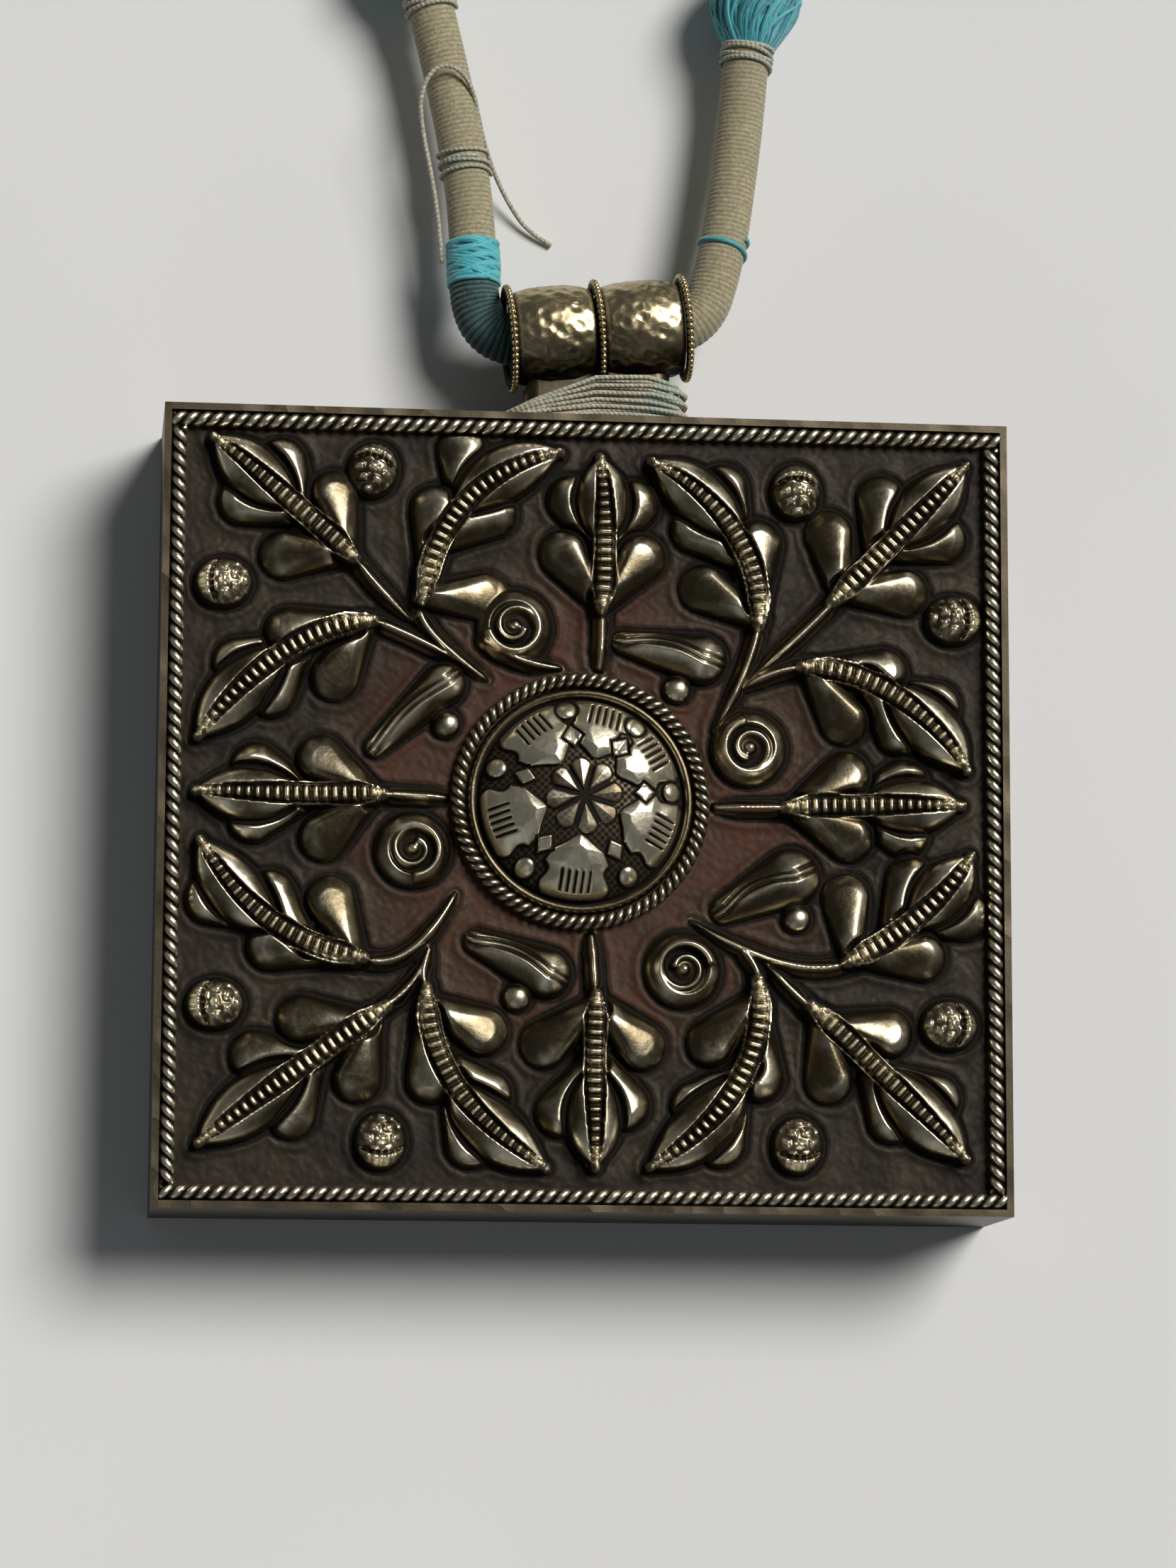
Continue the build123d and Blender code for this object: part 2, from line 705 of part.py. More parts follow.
def make_cord_threads():
    """Threads wound round the strands: the ties of the tufts, the floss turn and the stray turns."""
    radius = cord_radius + whip_room + whip_thread / 2
    pieces = {}
    ties = {
        "left_tuft_binding": (left_points, left_whip_turns),
        "right_tuft_binding": (right_points, right_whip_turns),
    }
    for name, (points, turns) in ties.items():
        run = Vector(*points[-1]) - Vector(*points[-2])
        start = Vector(*points[-1]) - run.normalized() * (turns * (whip_thread + whip_gap) + whip_thread)
        pieces[name] = winding(start, run, radius, whip_thread, whip_gap, turns)
    start, along = on_run(right_points[2], right_points[3], floss_turn_at)
    pieces["right_floss_turn"] = winding(start, along, radius, whip_thread, whip_gap, 1)
    start, along = on_run(left_points[2], left_points[3], stray_turns_at)
    size = stray_thread_size
    stray_radius = cord_radius + whip_room + size / 2
    pieces["thread_turns"] = winding(start, along, stray_radius, size, whip_gap, stray_turns, stray_sides)
    pieces["stray_thread"] = tube(rounded(stray_route), size / 2, stray_sides)
    return pieces


def make_neck_binding():
    """Thread wound round the neck: level runs in front, each climbing one step along the back."""
    reach_z = tongue_thickness / 2 + binding_room + binding_thread / 2
    reach_x = tongue_width / 2 + binding_room + binding_thread / 2 - reach_z
    step = binding_thread + binding_gap
    y = case_height / 2 + binding_room + binding_thread / 2
    edges = []
    for loop in range(binding_loops):
        low = y + loop * step
        front_right = (reach_x, low, reach_z)
        edges.append(Line((-reach_x, low, reach_z), front_right))
        if loop == binding_loops - 1:
            break
        back_right = (reach_x, low, -reach_z)
        half_way = (0, low + step / 2, -reach_z)
        back_left = (-reach_x, low + step, -reach_z)
        left_end = (-reach_x - reach_z, low + step, 0)
        edges.append(ThreePointArc(front_right, (reach_x + reach_z, low, 0), back_right))
        edges.append(TangentArc(back_right, half_way, tangent=(-1, 0, 0)))
        edges.append(TangentArc(half_way, back_left, tangent=edges[-1] % 1))
        edges.append(ThreePointArc(back_left, left_end, (-reach_x, low + step, reach_z)))
    path = Wire(edges)
    report_gap("neck_binding", path, binding_thread, 2 * tongue_width)
    return Pos(bail_x, 0, bail_z) * tube(path, binding_thread / 2, binding_sides)


def coil_crossing(step):
    """How far from the coil's middle the cord crosses its X axis, by half turns wound in."""
    return coil_radius - coil_pitch / 2 * step


def coil_points():
    """Where the coil crosses its own X axis: in along the floor, up a layer, and out again."""
    low = cord_radius + coil_lift
    high = low + coil_pitch
    inward = [(coil_crossing(step), low) for step in range(coil_half_turns + 1)]
    outward = [(coil_crossing(step), high) for step in range(coil_half_turns - 1, -1, -1)]
    innermost = (coil_crossing(coil_half_turns) - coil_tuck, high)
    points = []
    for index, (reach, z) in enumerate(inward + [innermost] + outward):
        side = -1 if index % 2 == 0 else 1
        points.append((side * reach, 0, z))
    return points


def make_cord_coil():
    """The put-away cord: two layers of turns, spiralling in and out, with a lead to each tuft."""
    crossings = coil_points()
    climb = coil_half_turns
    arcs = []
    for step, (start, end) in enumerate(zip(crossings, crossings[1:])):
        upward = 1 if start[0] < 0 else -1
        if step == climb:
            sag = hypot((end[0] - start[0]) / 2, (end[2] - start[2]) / 2)
            half_way = ((start[0] + end[0]) / 2, upward * sag, (start[2] + end[2]) / 2)
            arcs += half_turns([start, half_way, end], (0, upward, 0))
        else:
            arcs.append(TangentArc(start, end, tangent=(0, upward, 0)))
    arcs = [Pos(*coil_centre) * arc for arc in arcs]
    coil = Wire(arcs)
    report_gap("cord_coil", coil, cord_size, pi * coil_radius)
    leads = []
    for points, meet in ((left_points, coil @ 0), (right_points, coil @ 1)):
        _, end, heading = tuft_axis(points)
        straight = (meet.X, meet.Y - lead_straight, meet.Z)
        leads.append(rounded([tuple(end), tuple(end + heading * lead_run), straight, tuple(meet)]))
    path = Wire(list(leads[0].edges()) + arcs + list(leads[1].edges()))
    print("cord length", round(path.length + 2 * tuft_length, 1))
    return tube(path, cord_radius, coil_sides)


def make_coil_tie():
    """A band round all the coil's turns at the side away from the case."""
    inner = coil_crossing(coil_half_turns - 0.5) - coil_tuck / 2 - cord_radius
    outer = coil_crossing(0.5) + cord_radius
    low = coil_lift - tie_clearance
    high = coil_lift + cord_size + coil_pitch + tie_clearance
    width = outer - inner + 2 * tie_clearance
    hole = Box(tie_width, width, high - low)
    band = Box(tie_width, width + 2 * tie_thickness, high - low + 2 * tie_thickness) - hole
    middle = coil_centre[1] + (inner + outer) / 2
    return Pos(coil_centre[0], middle, (low + high) / 2) * band


# Prayers


def make_prayers():
    """The folded packet on its crossed ribbon, lying on the back plate."""
    x, y = packet_centre
    low = back_sheet + packet_seat
    block = Box(packet_width, packet_height, packet_thickness)
    block = fillet(block.edges().filter_by(Axis.Y), packet_edge_radius)
    z = low + ribbon_thickness + packet_seat + packet_thickness / 2
    room = 2 * packet_seat
    edge = room + 2 * ribbon_thickness
    tall = packet_thickness + edge
    across = Box(packet_width + edge, ribbon_width, tall)
    across -= Box(packet_width + room, ribbon_width, packet_thickness + room)
    along = Box(ribbon_width, packet_height + edge, tall)
    along -= Box(ribbon_width, packet_height + room, packet_thickness + room)
    return {"prayer_packet": Pos(x, y, z) * block, "packet_ribbon": Pos(x, y, z) * (across + along)}


def make_pieces():
    """Every piece of the box by its name."""
    pieces = {
        "back_plate": make_back_plate(),
        "tray_band": make_tray_band(),
        "side_band": make_side_band(),
        "front_panel": make_front_panel(),
        "rosette_boss": make_rosette_boss(),
        "boss_ring_wire": make_boss_ring(),
        "bail_tongue": make_bail_tongue(),
        "neck_binding": make_neck_binding(),
        "left_tuft": make_tuft(left_points),
        "right_tuft": make_tuft(right_points),
        "cord_coil": make_cord_coil(),
        "coil_tie": make_coil_tie(),
    }
    pieces.update(make_prayers())
    pieces.update(make_border_wires())
    pieces.update(make_bail())
    pieces.update(make_strands())
    pieces.update(make_cord_threads())
    return pieces


os.makedirs("parts", exist_ok=True)
for node, piece in make_pieces().items():
    export_step(piece, f"parts/{node}.step")
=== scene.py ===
"""Looks of the ghau amulet box: camera, light, neck cord, chased face, boss, wires, bail, case, prayers."""

import logging
import math
from dataclasses import dataclass, field
from enum import Enum
from typing import Any, Iterable, Sequence, Union

import bpy
import numpy as np
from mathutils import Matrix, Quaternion, Vector


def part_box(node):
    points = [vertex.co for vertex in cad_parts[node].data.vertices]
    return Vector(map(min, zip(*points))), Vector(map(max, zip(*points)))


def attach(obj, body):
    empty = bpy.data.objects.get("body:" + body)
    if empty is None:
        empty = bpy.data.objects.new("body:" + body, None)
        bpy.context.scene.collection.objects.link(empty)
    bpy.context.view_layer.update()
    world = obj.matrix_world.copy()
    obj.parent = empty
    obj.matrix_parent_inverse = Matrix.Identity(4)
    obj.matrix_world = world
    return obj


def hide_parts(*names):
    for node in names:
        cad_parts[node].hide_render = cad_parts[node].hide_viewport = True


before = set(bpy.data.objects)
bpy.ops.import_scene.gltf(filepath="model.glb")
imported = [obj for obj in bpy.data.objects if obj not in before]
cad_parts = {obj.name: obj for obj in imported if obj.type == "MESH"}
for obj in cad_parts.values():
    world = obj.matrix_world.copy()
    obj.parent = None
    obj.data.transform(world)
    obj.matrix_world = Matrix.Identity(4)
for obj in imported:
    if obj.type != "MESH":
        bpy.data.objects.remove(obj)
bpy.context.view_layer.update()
MM = 0.001
TURN = 2 * math.pi
UP = (0.0, 0.0, 1.0)
log = logging.getLogger("ghau")

Array = np.ndarray
Material = bpy.types.Material
Region = tuple[slice, slice]
Colour = tuple[float, float, float]
Number = Union["Value", float]


class Body(Enum):
    """The two halves of the box that the pieces ride on."""

    FRONT = "front_case"
    BACK = "back_cover"


class Value:
    """A number that varies over a surface: a node's output whose operators add Math nodes."""

    def __init__(self, shader: "Shader", socket: bpy.types.NodeSocket) -> None:
        """Keeps the shader and the output socket."""
        self.shader = shader
        self.socket = socket

    def __add__(self, other: Number) -> "Value":
        """The sum."""
        return self.shader.math("ADD", self, other)

    def __sub__(self, other: Number) -> "Value":
        """The difference."""
        return self.shader.math("SUBTRACT", self, other)

    def __mul__(self, other: Number) -> "Value":
        """The product."""
        return self.shader.math("MULTIPLY", self, other)

    def __truediv__(self, other: Number) -> "Value":
        """The quotient."""
        return self.shader.math("DIVIDE", self, other)

    def __rsub__(self, other: float) -> "Value":
        """A number less this value."""
        return self.shader.math("SUBTRACT", other, self)

    def __rtruediv__(self, other: float) -> "Value":
        """A number over this value."""
        return self.shader.math("DIVIDE", other, self)

    __radd__ = __add__
    __rmul__ = __mul__

    def clamped(self) -> "Value":
        """This value held between 0 and 1."""
        return self.shader.math("MULTIPLY", self, 1.0, clamp=True)

    def wave(self) -> "Value":
        """A cosine of this value in turns, from 0 to 1."""
        return self.shader.math("COSINE", self * TURN) * 0.5 + 0.5

    def step(self, low: float, high: float) -> "Value":
        """A smooth step from 0 at low to 1 at high."""
        settings = {"interpolation_type": "SMOOTHSTEP"}
        node = self.shader.node("ShaderNodeMapRange", settings, {0: self, 1: low, 2: high})
        return Value(self.shader, node.outputs[0])


class Shader:
    """A material being made: one method adds any node, and the others name the ones used often."""

    def __init__(self, name: str) -> None:
        """Starts an empty material.

        Args:
            name: the material's name.
        """
        self.material = bpy.data.materials.new(name)
        self.material.use_nodes = True
        self.tree = self.material.node_tree
        self.tree.nodes.clear()

    def node(self, kind: str, settings: dict[str, Any], inputs: dict[Any, Any]) -> bpy.types.Node:
        """Adds a node.

        Args:
            kind: the node's type.
            settings: its own settings, set first.
            inputs: values or links of its sockets, by name or number.

        Returns:
            The node.
        """
        node = self.tree.nodes.new(kind)
        for key, value in settings.items():
            setattr(node, key, value)
        for key, value in inputs.items():
            if isinstance(value, Value):
                self.tree.links.new(value.socket, node.inputs[key])
            else:
                node.inputs[key].default_value = value
        return node

    def math(self, operation: str, *operands: Number, clamp: bool = False) -> Value:
        """A Math node on values or numbers."""
        settings = {"operation": operation, "use_clamp": clamp}
        return Value(self, self.node("ShaderNodeMath", settings, dict(enumerate(operands))).outputs[0])

    def attribute(self, name: str) -> Value:
        """A number kept at the mesh's points."""
        return Value(self, self.node("ShaderNodeAttribute", {"attribute_name": name}, {}).outputs["Fac"])

    def place(self) -> Value:
        """The place on the object, in metres."""
        return Value(self, self.node("ShaderNodeTexCoord", {}, {}).outputs["Object"])

    def noise(self, place: Value, scale: float, detail: float = 3.0, rough: float = 0.55) -> Value:
        """Cloudy noise, from about 0.3 to 0.7, with a number of features to the metre."""
        inputs = {"Vector": place, "Scale": scale, "Detail": detail, "Roughness": rough}
        return Value(self, self.node("ShaderNodeTexNoise", {}, inputs).outputs["Fac"])

    def cells(self, place: Value, scale: float) -> Value:
        """Distance to the nearest of scattered points, for hammer marks and punched dots."""
        inputs = {"Vector": place, "Scale": scale}
        return Value(self, self.node("ShaderNodeTexVoronoi", {}, inputs).outputs["Distance"])

    def mix(self, share: Number, first: Any, second: Any) -> Value:
        """A colour between two, by a share from 0 to 1."""
        colours = [value if isinstance(value, Value) else (*value, 1.0) for value in (first, second)]
        inputs = {0: share, 6: colours[0], 7: colours[1]}
        return Value(self, self.node("ShaderNodeMix", {"data_type": "RGBA"}, inputs).outputs[2])

    def bump(self, height: Value, depth: float) -> Value:
        """A normal from a height between 0 and 1, so many millimetres deep."""
        inputs = {"Strength": 1.0, "Distance": depth * MM, "Height": height}
        return Value(self, self.node("ShaderNodeBump", {}, inputs).outputs[0])

    def surface(self, **inputs: Any) -> Material:
        """Ends the material in one shader.

        Args:
            inputs: the shader's sockets by name, with underscores for spaces.

        Returns:
            The material.
        """
        named = {key.replace("_", " "): value for key, value in inputs.items()}
        shader = self.node("ShaderNodeBsdfPrincipled", {}, named)
        output = self.node("ShaderNodeOutputMaterial", {}, {})
        self.tree.links.new(shader.outputs[0], output.inputs[0])
        return self.material


@dataclass(frozen=True)
class Yarn:
    """Wound or laid thread: threads slant across the surface by its own map, and their colour wanders."""

    name: str
    light: Colour
    dark: Colour
    stain: Colour
    pitch: float = 0.6
    slant: float = 1.0
    stain_share: float = 0.35
    depth: float = 0.06
    rough: float = 0.82
    gap: float = 0.7

    def make(self) -> Material:
        """Builds the yarn: a cosine across each thread paints shade into the gaps between threads, and noise
        along it stains it.

        Returns:
            The material.
        """
        shader = Shader(self.name)
        along = shader.attribute("along")
        around = shader.attribute("around")
        phase = along / self.pitch + around * self.slant
        ridge = phase.wave()
        place = shader.place()
        fibre = shader.noise(place, 2600.0, 3.0, 0.7)
        cloud = shader.noise(place, 160.0, 3.0)
        # painted shade: the gaps between threads are darkened towards the yarn's dark colour
        gap = (1.0 - ridge.step(0.0, 0.55)) * self.gap
        colour = shader.mix(fibre.step(0.3, 0.7), self.dark, self.light)
        colour = shader.mix((cloud.step(0.48, 0.62) * self.stain_share).clamped(), colour, self.stain)
        colour = shader.mix(gap.clamped(), colour, tuple(0.35 * c for c in self.dark))
        height = ridge * 0.7 + fibre * 0.3
        return shader.surface(
            Base_Color=colour,
            Roughness=(fibre * 0.2 + (self.rough - 0.1)).clamped(),
            Normal=shader.bump(height, self.depth),
            Sheen_Weight=0.25,
            Specular_IOR_Level=0.25,
        )


@dataclass(frozen=True)
class Floss:
    """Loose glossy strands: each strand has its own shade."""

    name: str
    light: Colour
    dark: Colour
    rough: float = 0.5

    def make(self) -> Material:
        """Builds the floss: the shade kept on each strand and fine fibre noise mix two colours.

        Returns:
            The material.
        """
        shader = Shader(self.name)
        # shade: each strand's own tone, set lower on the cores, where it paints shade
        shade = shader.attribute("shade")
        fibre = shader.noise(shader.place(), 2200.0, 2.0, 0.6)
        share = (shade * 0.8 + fibre * 0.5 - 0.15).clamped()
        return shader.surface(
            Base_Color=shader.mix(share, self.dark, self.light),
            Roughness=(fibre * 0.25 + (self.rough - 0.1)).clamped(),
            Normal=shader.bump(fibre, 0.04),
            Sheen_Weight=0.35,
            Specular_IOR_Level=0.35,
        )


@dataclass(frozen=True)
class AgedMetal:
    """Old silvered brass: black in the hollows (patina and painted shade), olive brown on the slopes, pale on
    worn crests and painted highlights.
    """

    name: str
    worn_and_lit: Colour = (0.90, 0.82, 0.62)
    body: Colour = (0.11, 0.088, 0.052)
    hollow: Colour = (0.010, 0.008, 0.006)
    soot: Colour = (0.018, 0.0135, 0.0105)
    rust: Colour = (0.070, 0.028, 0.0165)
    rough: float = 0.33
    grain: float = 700.0
    marks: float = 0.0
    mark_depth: float = 0.0
    worn_all_over: float = 0.0

    def make(self) -> Material:
        """Builds the metal: kept hollow, crest and ground values and noise choose among four colours.

        Returns:
            The material.
        """
        shader = Shader(self.name)
        place = shader.place()
        fine = shader.noise(place, self.grain * 3.0, 4.0, 0.65)
        cloud = shader.noise(place, self.grain * 0.35, 4.0, 0.6)
        hollow = shader.attribute("hollow")
        crest = shader.attribute("crest")
        ground = shader.attribute("ground")
        # pale where the crests are worn, and on the bail barrels a painted highlight on their lit side
        wear_and_highlight = (crest + self.worn_all_over + (cloud - 0.5) * 0.9).step(0.25, 0.95)
        # black where patina sits in the hollows, plus painted shade in creases, on shaded sides and under the
        # beads
        patina_and_shade = (hollow + (fine - 0.5) * 0.35).step(0.25, 0.8)
        matted = (ground * (cloud * 0.8 + 0.5)).clamped()
        reddish = (shader.attribute("red") * (cloud * 2.2 - 0.45)).clamped()
        colour = shader.mix(wear_and_highlight, self.body, self.worn_and_lit)
        colour = shader.mix(matted, colour, shader.mix(reddish, self.soot, self.rust))
        colour = shader.mix(patina_and_shade, colour, self.hollow)
        height = fine * 0.5 + cloud * 0.5
        normal = shader.bump(height, 0.05)
        if self.marks:
            dents = shader.cells(place, self.marks).step(0.0, 0.7) + fine * 0.12
            normal = shader.bump(dents, self.mark_depth)
        return shader.surface(
            Base_Color=colour,
            Specular_IOR_Level=0.12,
            Metallic=(1.0 - patina_and_shade * 0.7 - matted).clamped(),
            Roughness=(patina_and_shade * 0.3 + matted * 0.25 + (fine - 0.5) * 0.25 + self.rough).clamped(),
            Normal=normal,
        )


@dataclass
class Surface:
    """Points in millimetres, four- and three-sided faces by point number, and numbers kept at the points."""

    points: Array
    quads: Array
    triangles: Array = field(default_factory=lambda: np.zeros((0, 3), int))
    values: dict[str, Array] = field(default_factory=dict)
    normals: Union[Array, None] = None

    def with_value(self, name: str, value: Any) -> "Surface":
        """Keeps a number at every point, one for all or one each."""
        self.values[name] = np.broadcast_to(np.asarray(value, float), len(self.points)).copy()
        return self


def lattice(rows: int, columns: int, wrap_rows: bool = False, wrap_columns: bool = False) -> Array:
    """Faces of a grid of points numbered row by row.

    Args:
        rows: how many rows of points.
        columns: how many points in a row.
        wrap_rows: whether the last row joins the first.
        wrap_columns: whether each row's last point joins its first.

    Returns:
        Four point numbers for each face, turning from the row's to the column's direction.
    """
    row = np.arange(rows if wrap_rows else rows - 1)[:, None]
    column = np.arange(columns if wrap_columns else columns - 1)[None, :]
    next_row, next_column = (row + 1) % rows, (column + 1) % columns
    corners = [row * columns + column, next_row * columns + column]
    corners += [next_row * columns + next_column, row * columns + next_column]
    return np.stack(np.broadcast_arrays(*corners), axis=-1).reshape(-1, 4)


def merged(surfaces: Iterable[Surface]) -> Surface:
    """Several surfaces as one; values that one lacks are 0 there."""
    parts = list(surfaces)
    starts = np.cumsum([0] + [len(part.points) for part in parts])
    names = {name for part in parts for name in part.values}
    values = {
        name: np.concatenate([part.values.get(name, np.zeros(len(part.points))) for part in parts])
        for name in names
    }
    return Surface(
        np.concatenate([part.points for part in parts]),
        np.concatenate([part.quads + start for part, start in zip(parts, starts)]),
        np.concatenate([part.triangles + start for part, start in zip(parts, starts)]),
        values,
    )


def unit(vectors: Array) -> Array:
    """Vectors brought to length 1."""
    return vectors / np.maximum(np.linalg.norm(vectors, axis=-1, keepdims=True), 1e-12)


def lengths_along(path: Array) -> Array:
    """Distance run along a path up to each of its points."""
    return np.concatenate([[0.0], np.cumsum(np.linalg.norm(np.diff(path, axis=0), axis=1))])


def points_at(path: Array, places: Array) -> Array:
    """Points of a path at distances along it."""
    run = lengths_along(path)
    return np.stack([np.interp(places, run, path[:, axis]) for axis in range(3)], axis=1)


def stretch(path: Array, start: float, end: float, step: float) -> Array:
    """The part of a path between two distances along it, in even steps."""
    return points_at(path, np.linspace(start, end, max(int(round((end - start) / step)), 2) + 1))


def even_path(path: Array, step: float) -> Array:
    """A path's points made evenly spaced, about a step apart."""
    return stretch(path, 0.0, lengths_along(path)[-1], step)


def squared(angle: Array, wide: float, tall: float) -> tuple[Array, Array]:
    """A squared-off circle: the cosine and the sine, each with its size raised to a power."""
    across, over = np.cos(angle), np.sin(angle)
    return np.sign(across) * np.abs(across) ** wide, np.sign(over) * np.abs(over) ** tall


def fan(tip: int, ring: Array) -> Array:
    """Triangles from a tip to each pair of neighbours on a closed ring of point numbers."""
    return np.stack([np.full(len(ring), tip), ring, np.roll(ring, -1)], axis=1)


def solid_box(node: str) -> tuple[Array, Array]:
    """The middle and the half size of a solid's box, in millimetres."""
    low, high = (np.array(corner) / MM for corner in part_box(node))
    return (low + high) / 2, (high - low) / 2


def axes_along(path: Array, up: Any) -> tuple[Array, Array, Array]:
    """Heading, side and top directions at each point of a path, the top as near to up as it can be."""
    heading = unit(np.gradient(path, axis=0))
    side = unit(np.cross(heading, np.broadcast_to(np.asarray(up, float), path.shape)))
    return heading, side, np.cross(side, heading)


def tube(
    path: Array, radius: Any, sides: int, up: Any = UP, capped: bool = True, flat: float = 1.0
) -> Surface:
    """A circle carried along a path: point = path + radius (cos a * side + flat * sin a * top).

    Args:
        path: the points that it follows, in millimetres.
        radius: one radius, one for each point, or one for each point and side.
        sides: points round it.
        up: the direction that its top leans to.
        capped: whether its ends are closed by fans.
        flat: its height over its width.

    Returns:
        The surface, with the values along (millimetres) and around (turns).
    """
    rows = len(path)
    _, side, top = axes_along(path, up)
    angle = TURN * np.arange(sides) / sides
    radius = np.asarray(radius, float)
    radius = radius if radius.ndim == 2 else np.broadcast_to(radius.reshape(-1, 1), (rows, sides))
    ring = np.cos(angle)[:, None] * side[:, None, :] + flat * np.sin(angle)[:, None] * top[:, None, :]
    points = (path[:, None, :] + radius[..., None] * ring).reshape(-1, 3)
    along = np.repeat(lengths_along(path), sides)
    around = np.tile(np.arange(sides) / sides, rows)
    triangles = np.zeros((0, 3), int)
    if capped:
        first, last = np.arange(sides), np.arange(sides) + (rows - 1) * sides
        triangles = np.concatenate([fan(len(points), first), fan(len(points) + 1, last)[:, [0, 2, 1]]])
        points = np.concatenate([points, path[:1], path[-1:]])
        along = np.concatenate([along, along[:1], along[-1:]])
        around = np.concatenate([around, [0.0, 0.0]])
    values = {"along": along, "around": around}
    return Surface(points, lattice(rows, sides, wrap_columns=True), triangles, values)


def piece(
    name: str,
    surface: Surface,
    body: Body,
    material: Material,
    replaces: Sequence[str] = (),
) -> bpy.types.Object:
    """Puts a surface into the scene as a piece that rides on a half of the box.

    Args:
        name: the piece's name.
        surface: its points and faces, in millimetres.
        body: the half that it rides on.
        material: its finish.
        replaces: the solids that it stands for.

    Returns:
        The object.
    """
    mesh = bpy.data.meshes.new(name)
    sizes = np.concatenate([np.full(len(surface.quads), 4), np.full(len(surface.triangles), 3)])
    corners = np.concatenate([surface.quads.ravel(), surface.triangles.ravel()])
    mesh.vertices.add(len(surface.points))
    mesh.vertices.foreach_set("co", (surface.points * MM).astype(np.float32).ravel())
    mesh.loops.add(len(corners))
    mesh.loops.foreach_set("vertex_index", corners.astype(np.int32))
    mesh.polygons.add(len(sizes))
    mesh.polygons.foreach_set("loop_start", (np.cumsum(sizes) - sizes).astype(np.int32))
    mesh.update(calc_edges=True)
    for key, values in surface.values.items():
        layer = mesh.attributes.new(key, "FLOAT", "POINT")
        layer.data.foreach_set("value", values.astype(np.float32))
    mesh.polygons.foreach_set("use_smooth", np.full(len(sizes), True))
    if surface.normals is not None:
        mesh.normals_split_custom_set_from_vertices(surface.normals.astype(np.float32))
    mesh.materials.append(material)
    obj = bpy.data.objects.new(name, mesh)
    bpy.context.scene.collection.objects.link(obj)
    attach(obj, body.value)
    if replaces:
        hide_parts(*replaces)
    log.info("%s: %d points", name, len(surface.points))
    return obj


def spline_points(name: str, control: Array, resolution: int = 24) -> Array:
    """Points read from the smooth spline that a route's points control.

    Args:
        name: the name of the spline while it is read.
        control: the route's points, in millimetres.
        resolution: steps between control points.

    Returns:
        The spline's points, in millimetres.
    """
    curve = bpy.data.curves.new(name, "CURVE")
    curve.dimensions = "3D"
    curve.resolution_u = resolution
    spline = curve.splines.new("NURBS")
    spline.points.add(len(control) - 1)
    spline.points.foreach_set("co", np.c_[control, np.ones(len(control))].astype(np.float32).ravel())
    spline.order_u = 3
    spline.use_endpoint_u = True
    holder = bpy.data.objects.new(name, curve)
    mesh = bpy.data.meshes.new_from_object(holder)
    points = np.zeros(3 * len(mesh.vertices), np.float32)
    mesh.vertices.foreach_get("co", points)
    bpy.data.objects.remove(holder)
    bpy.data.curves.remove(curve)
    bpy.data.meshes.remove(mesh)
    return points.reshape(-1, 3).astype(float)


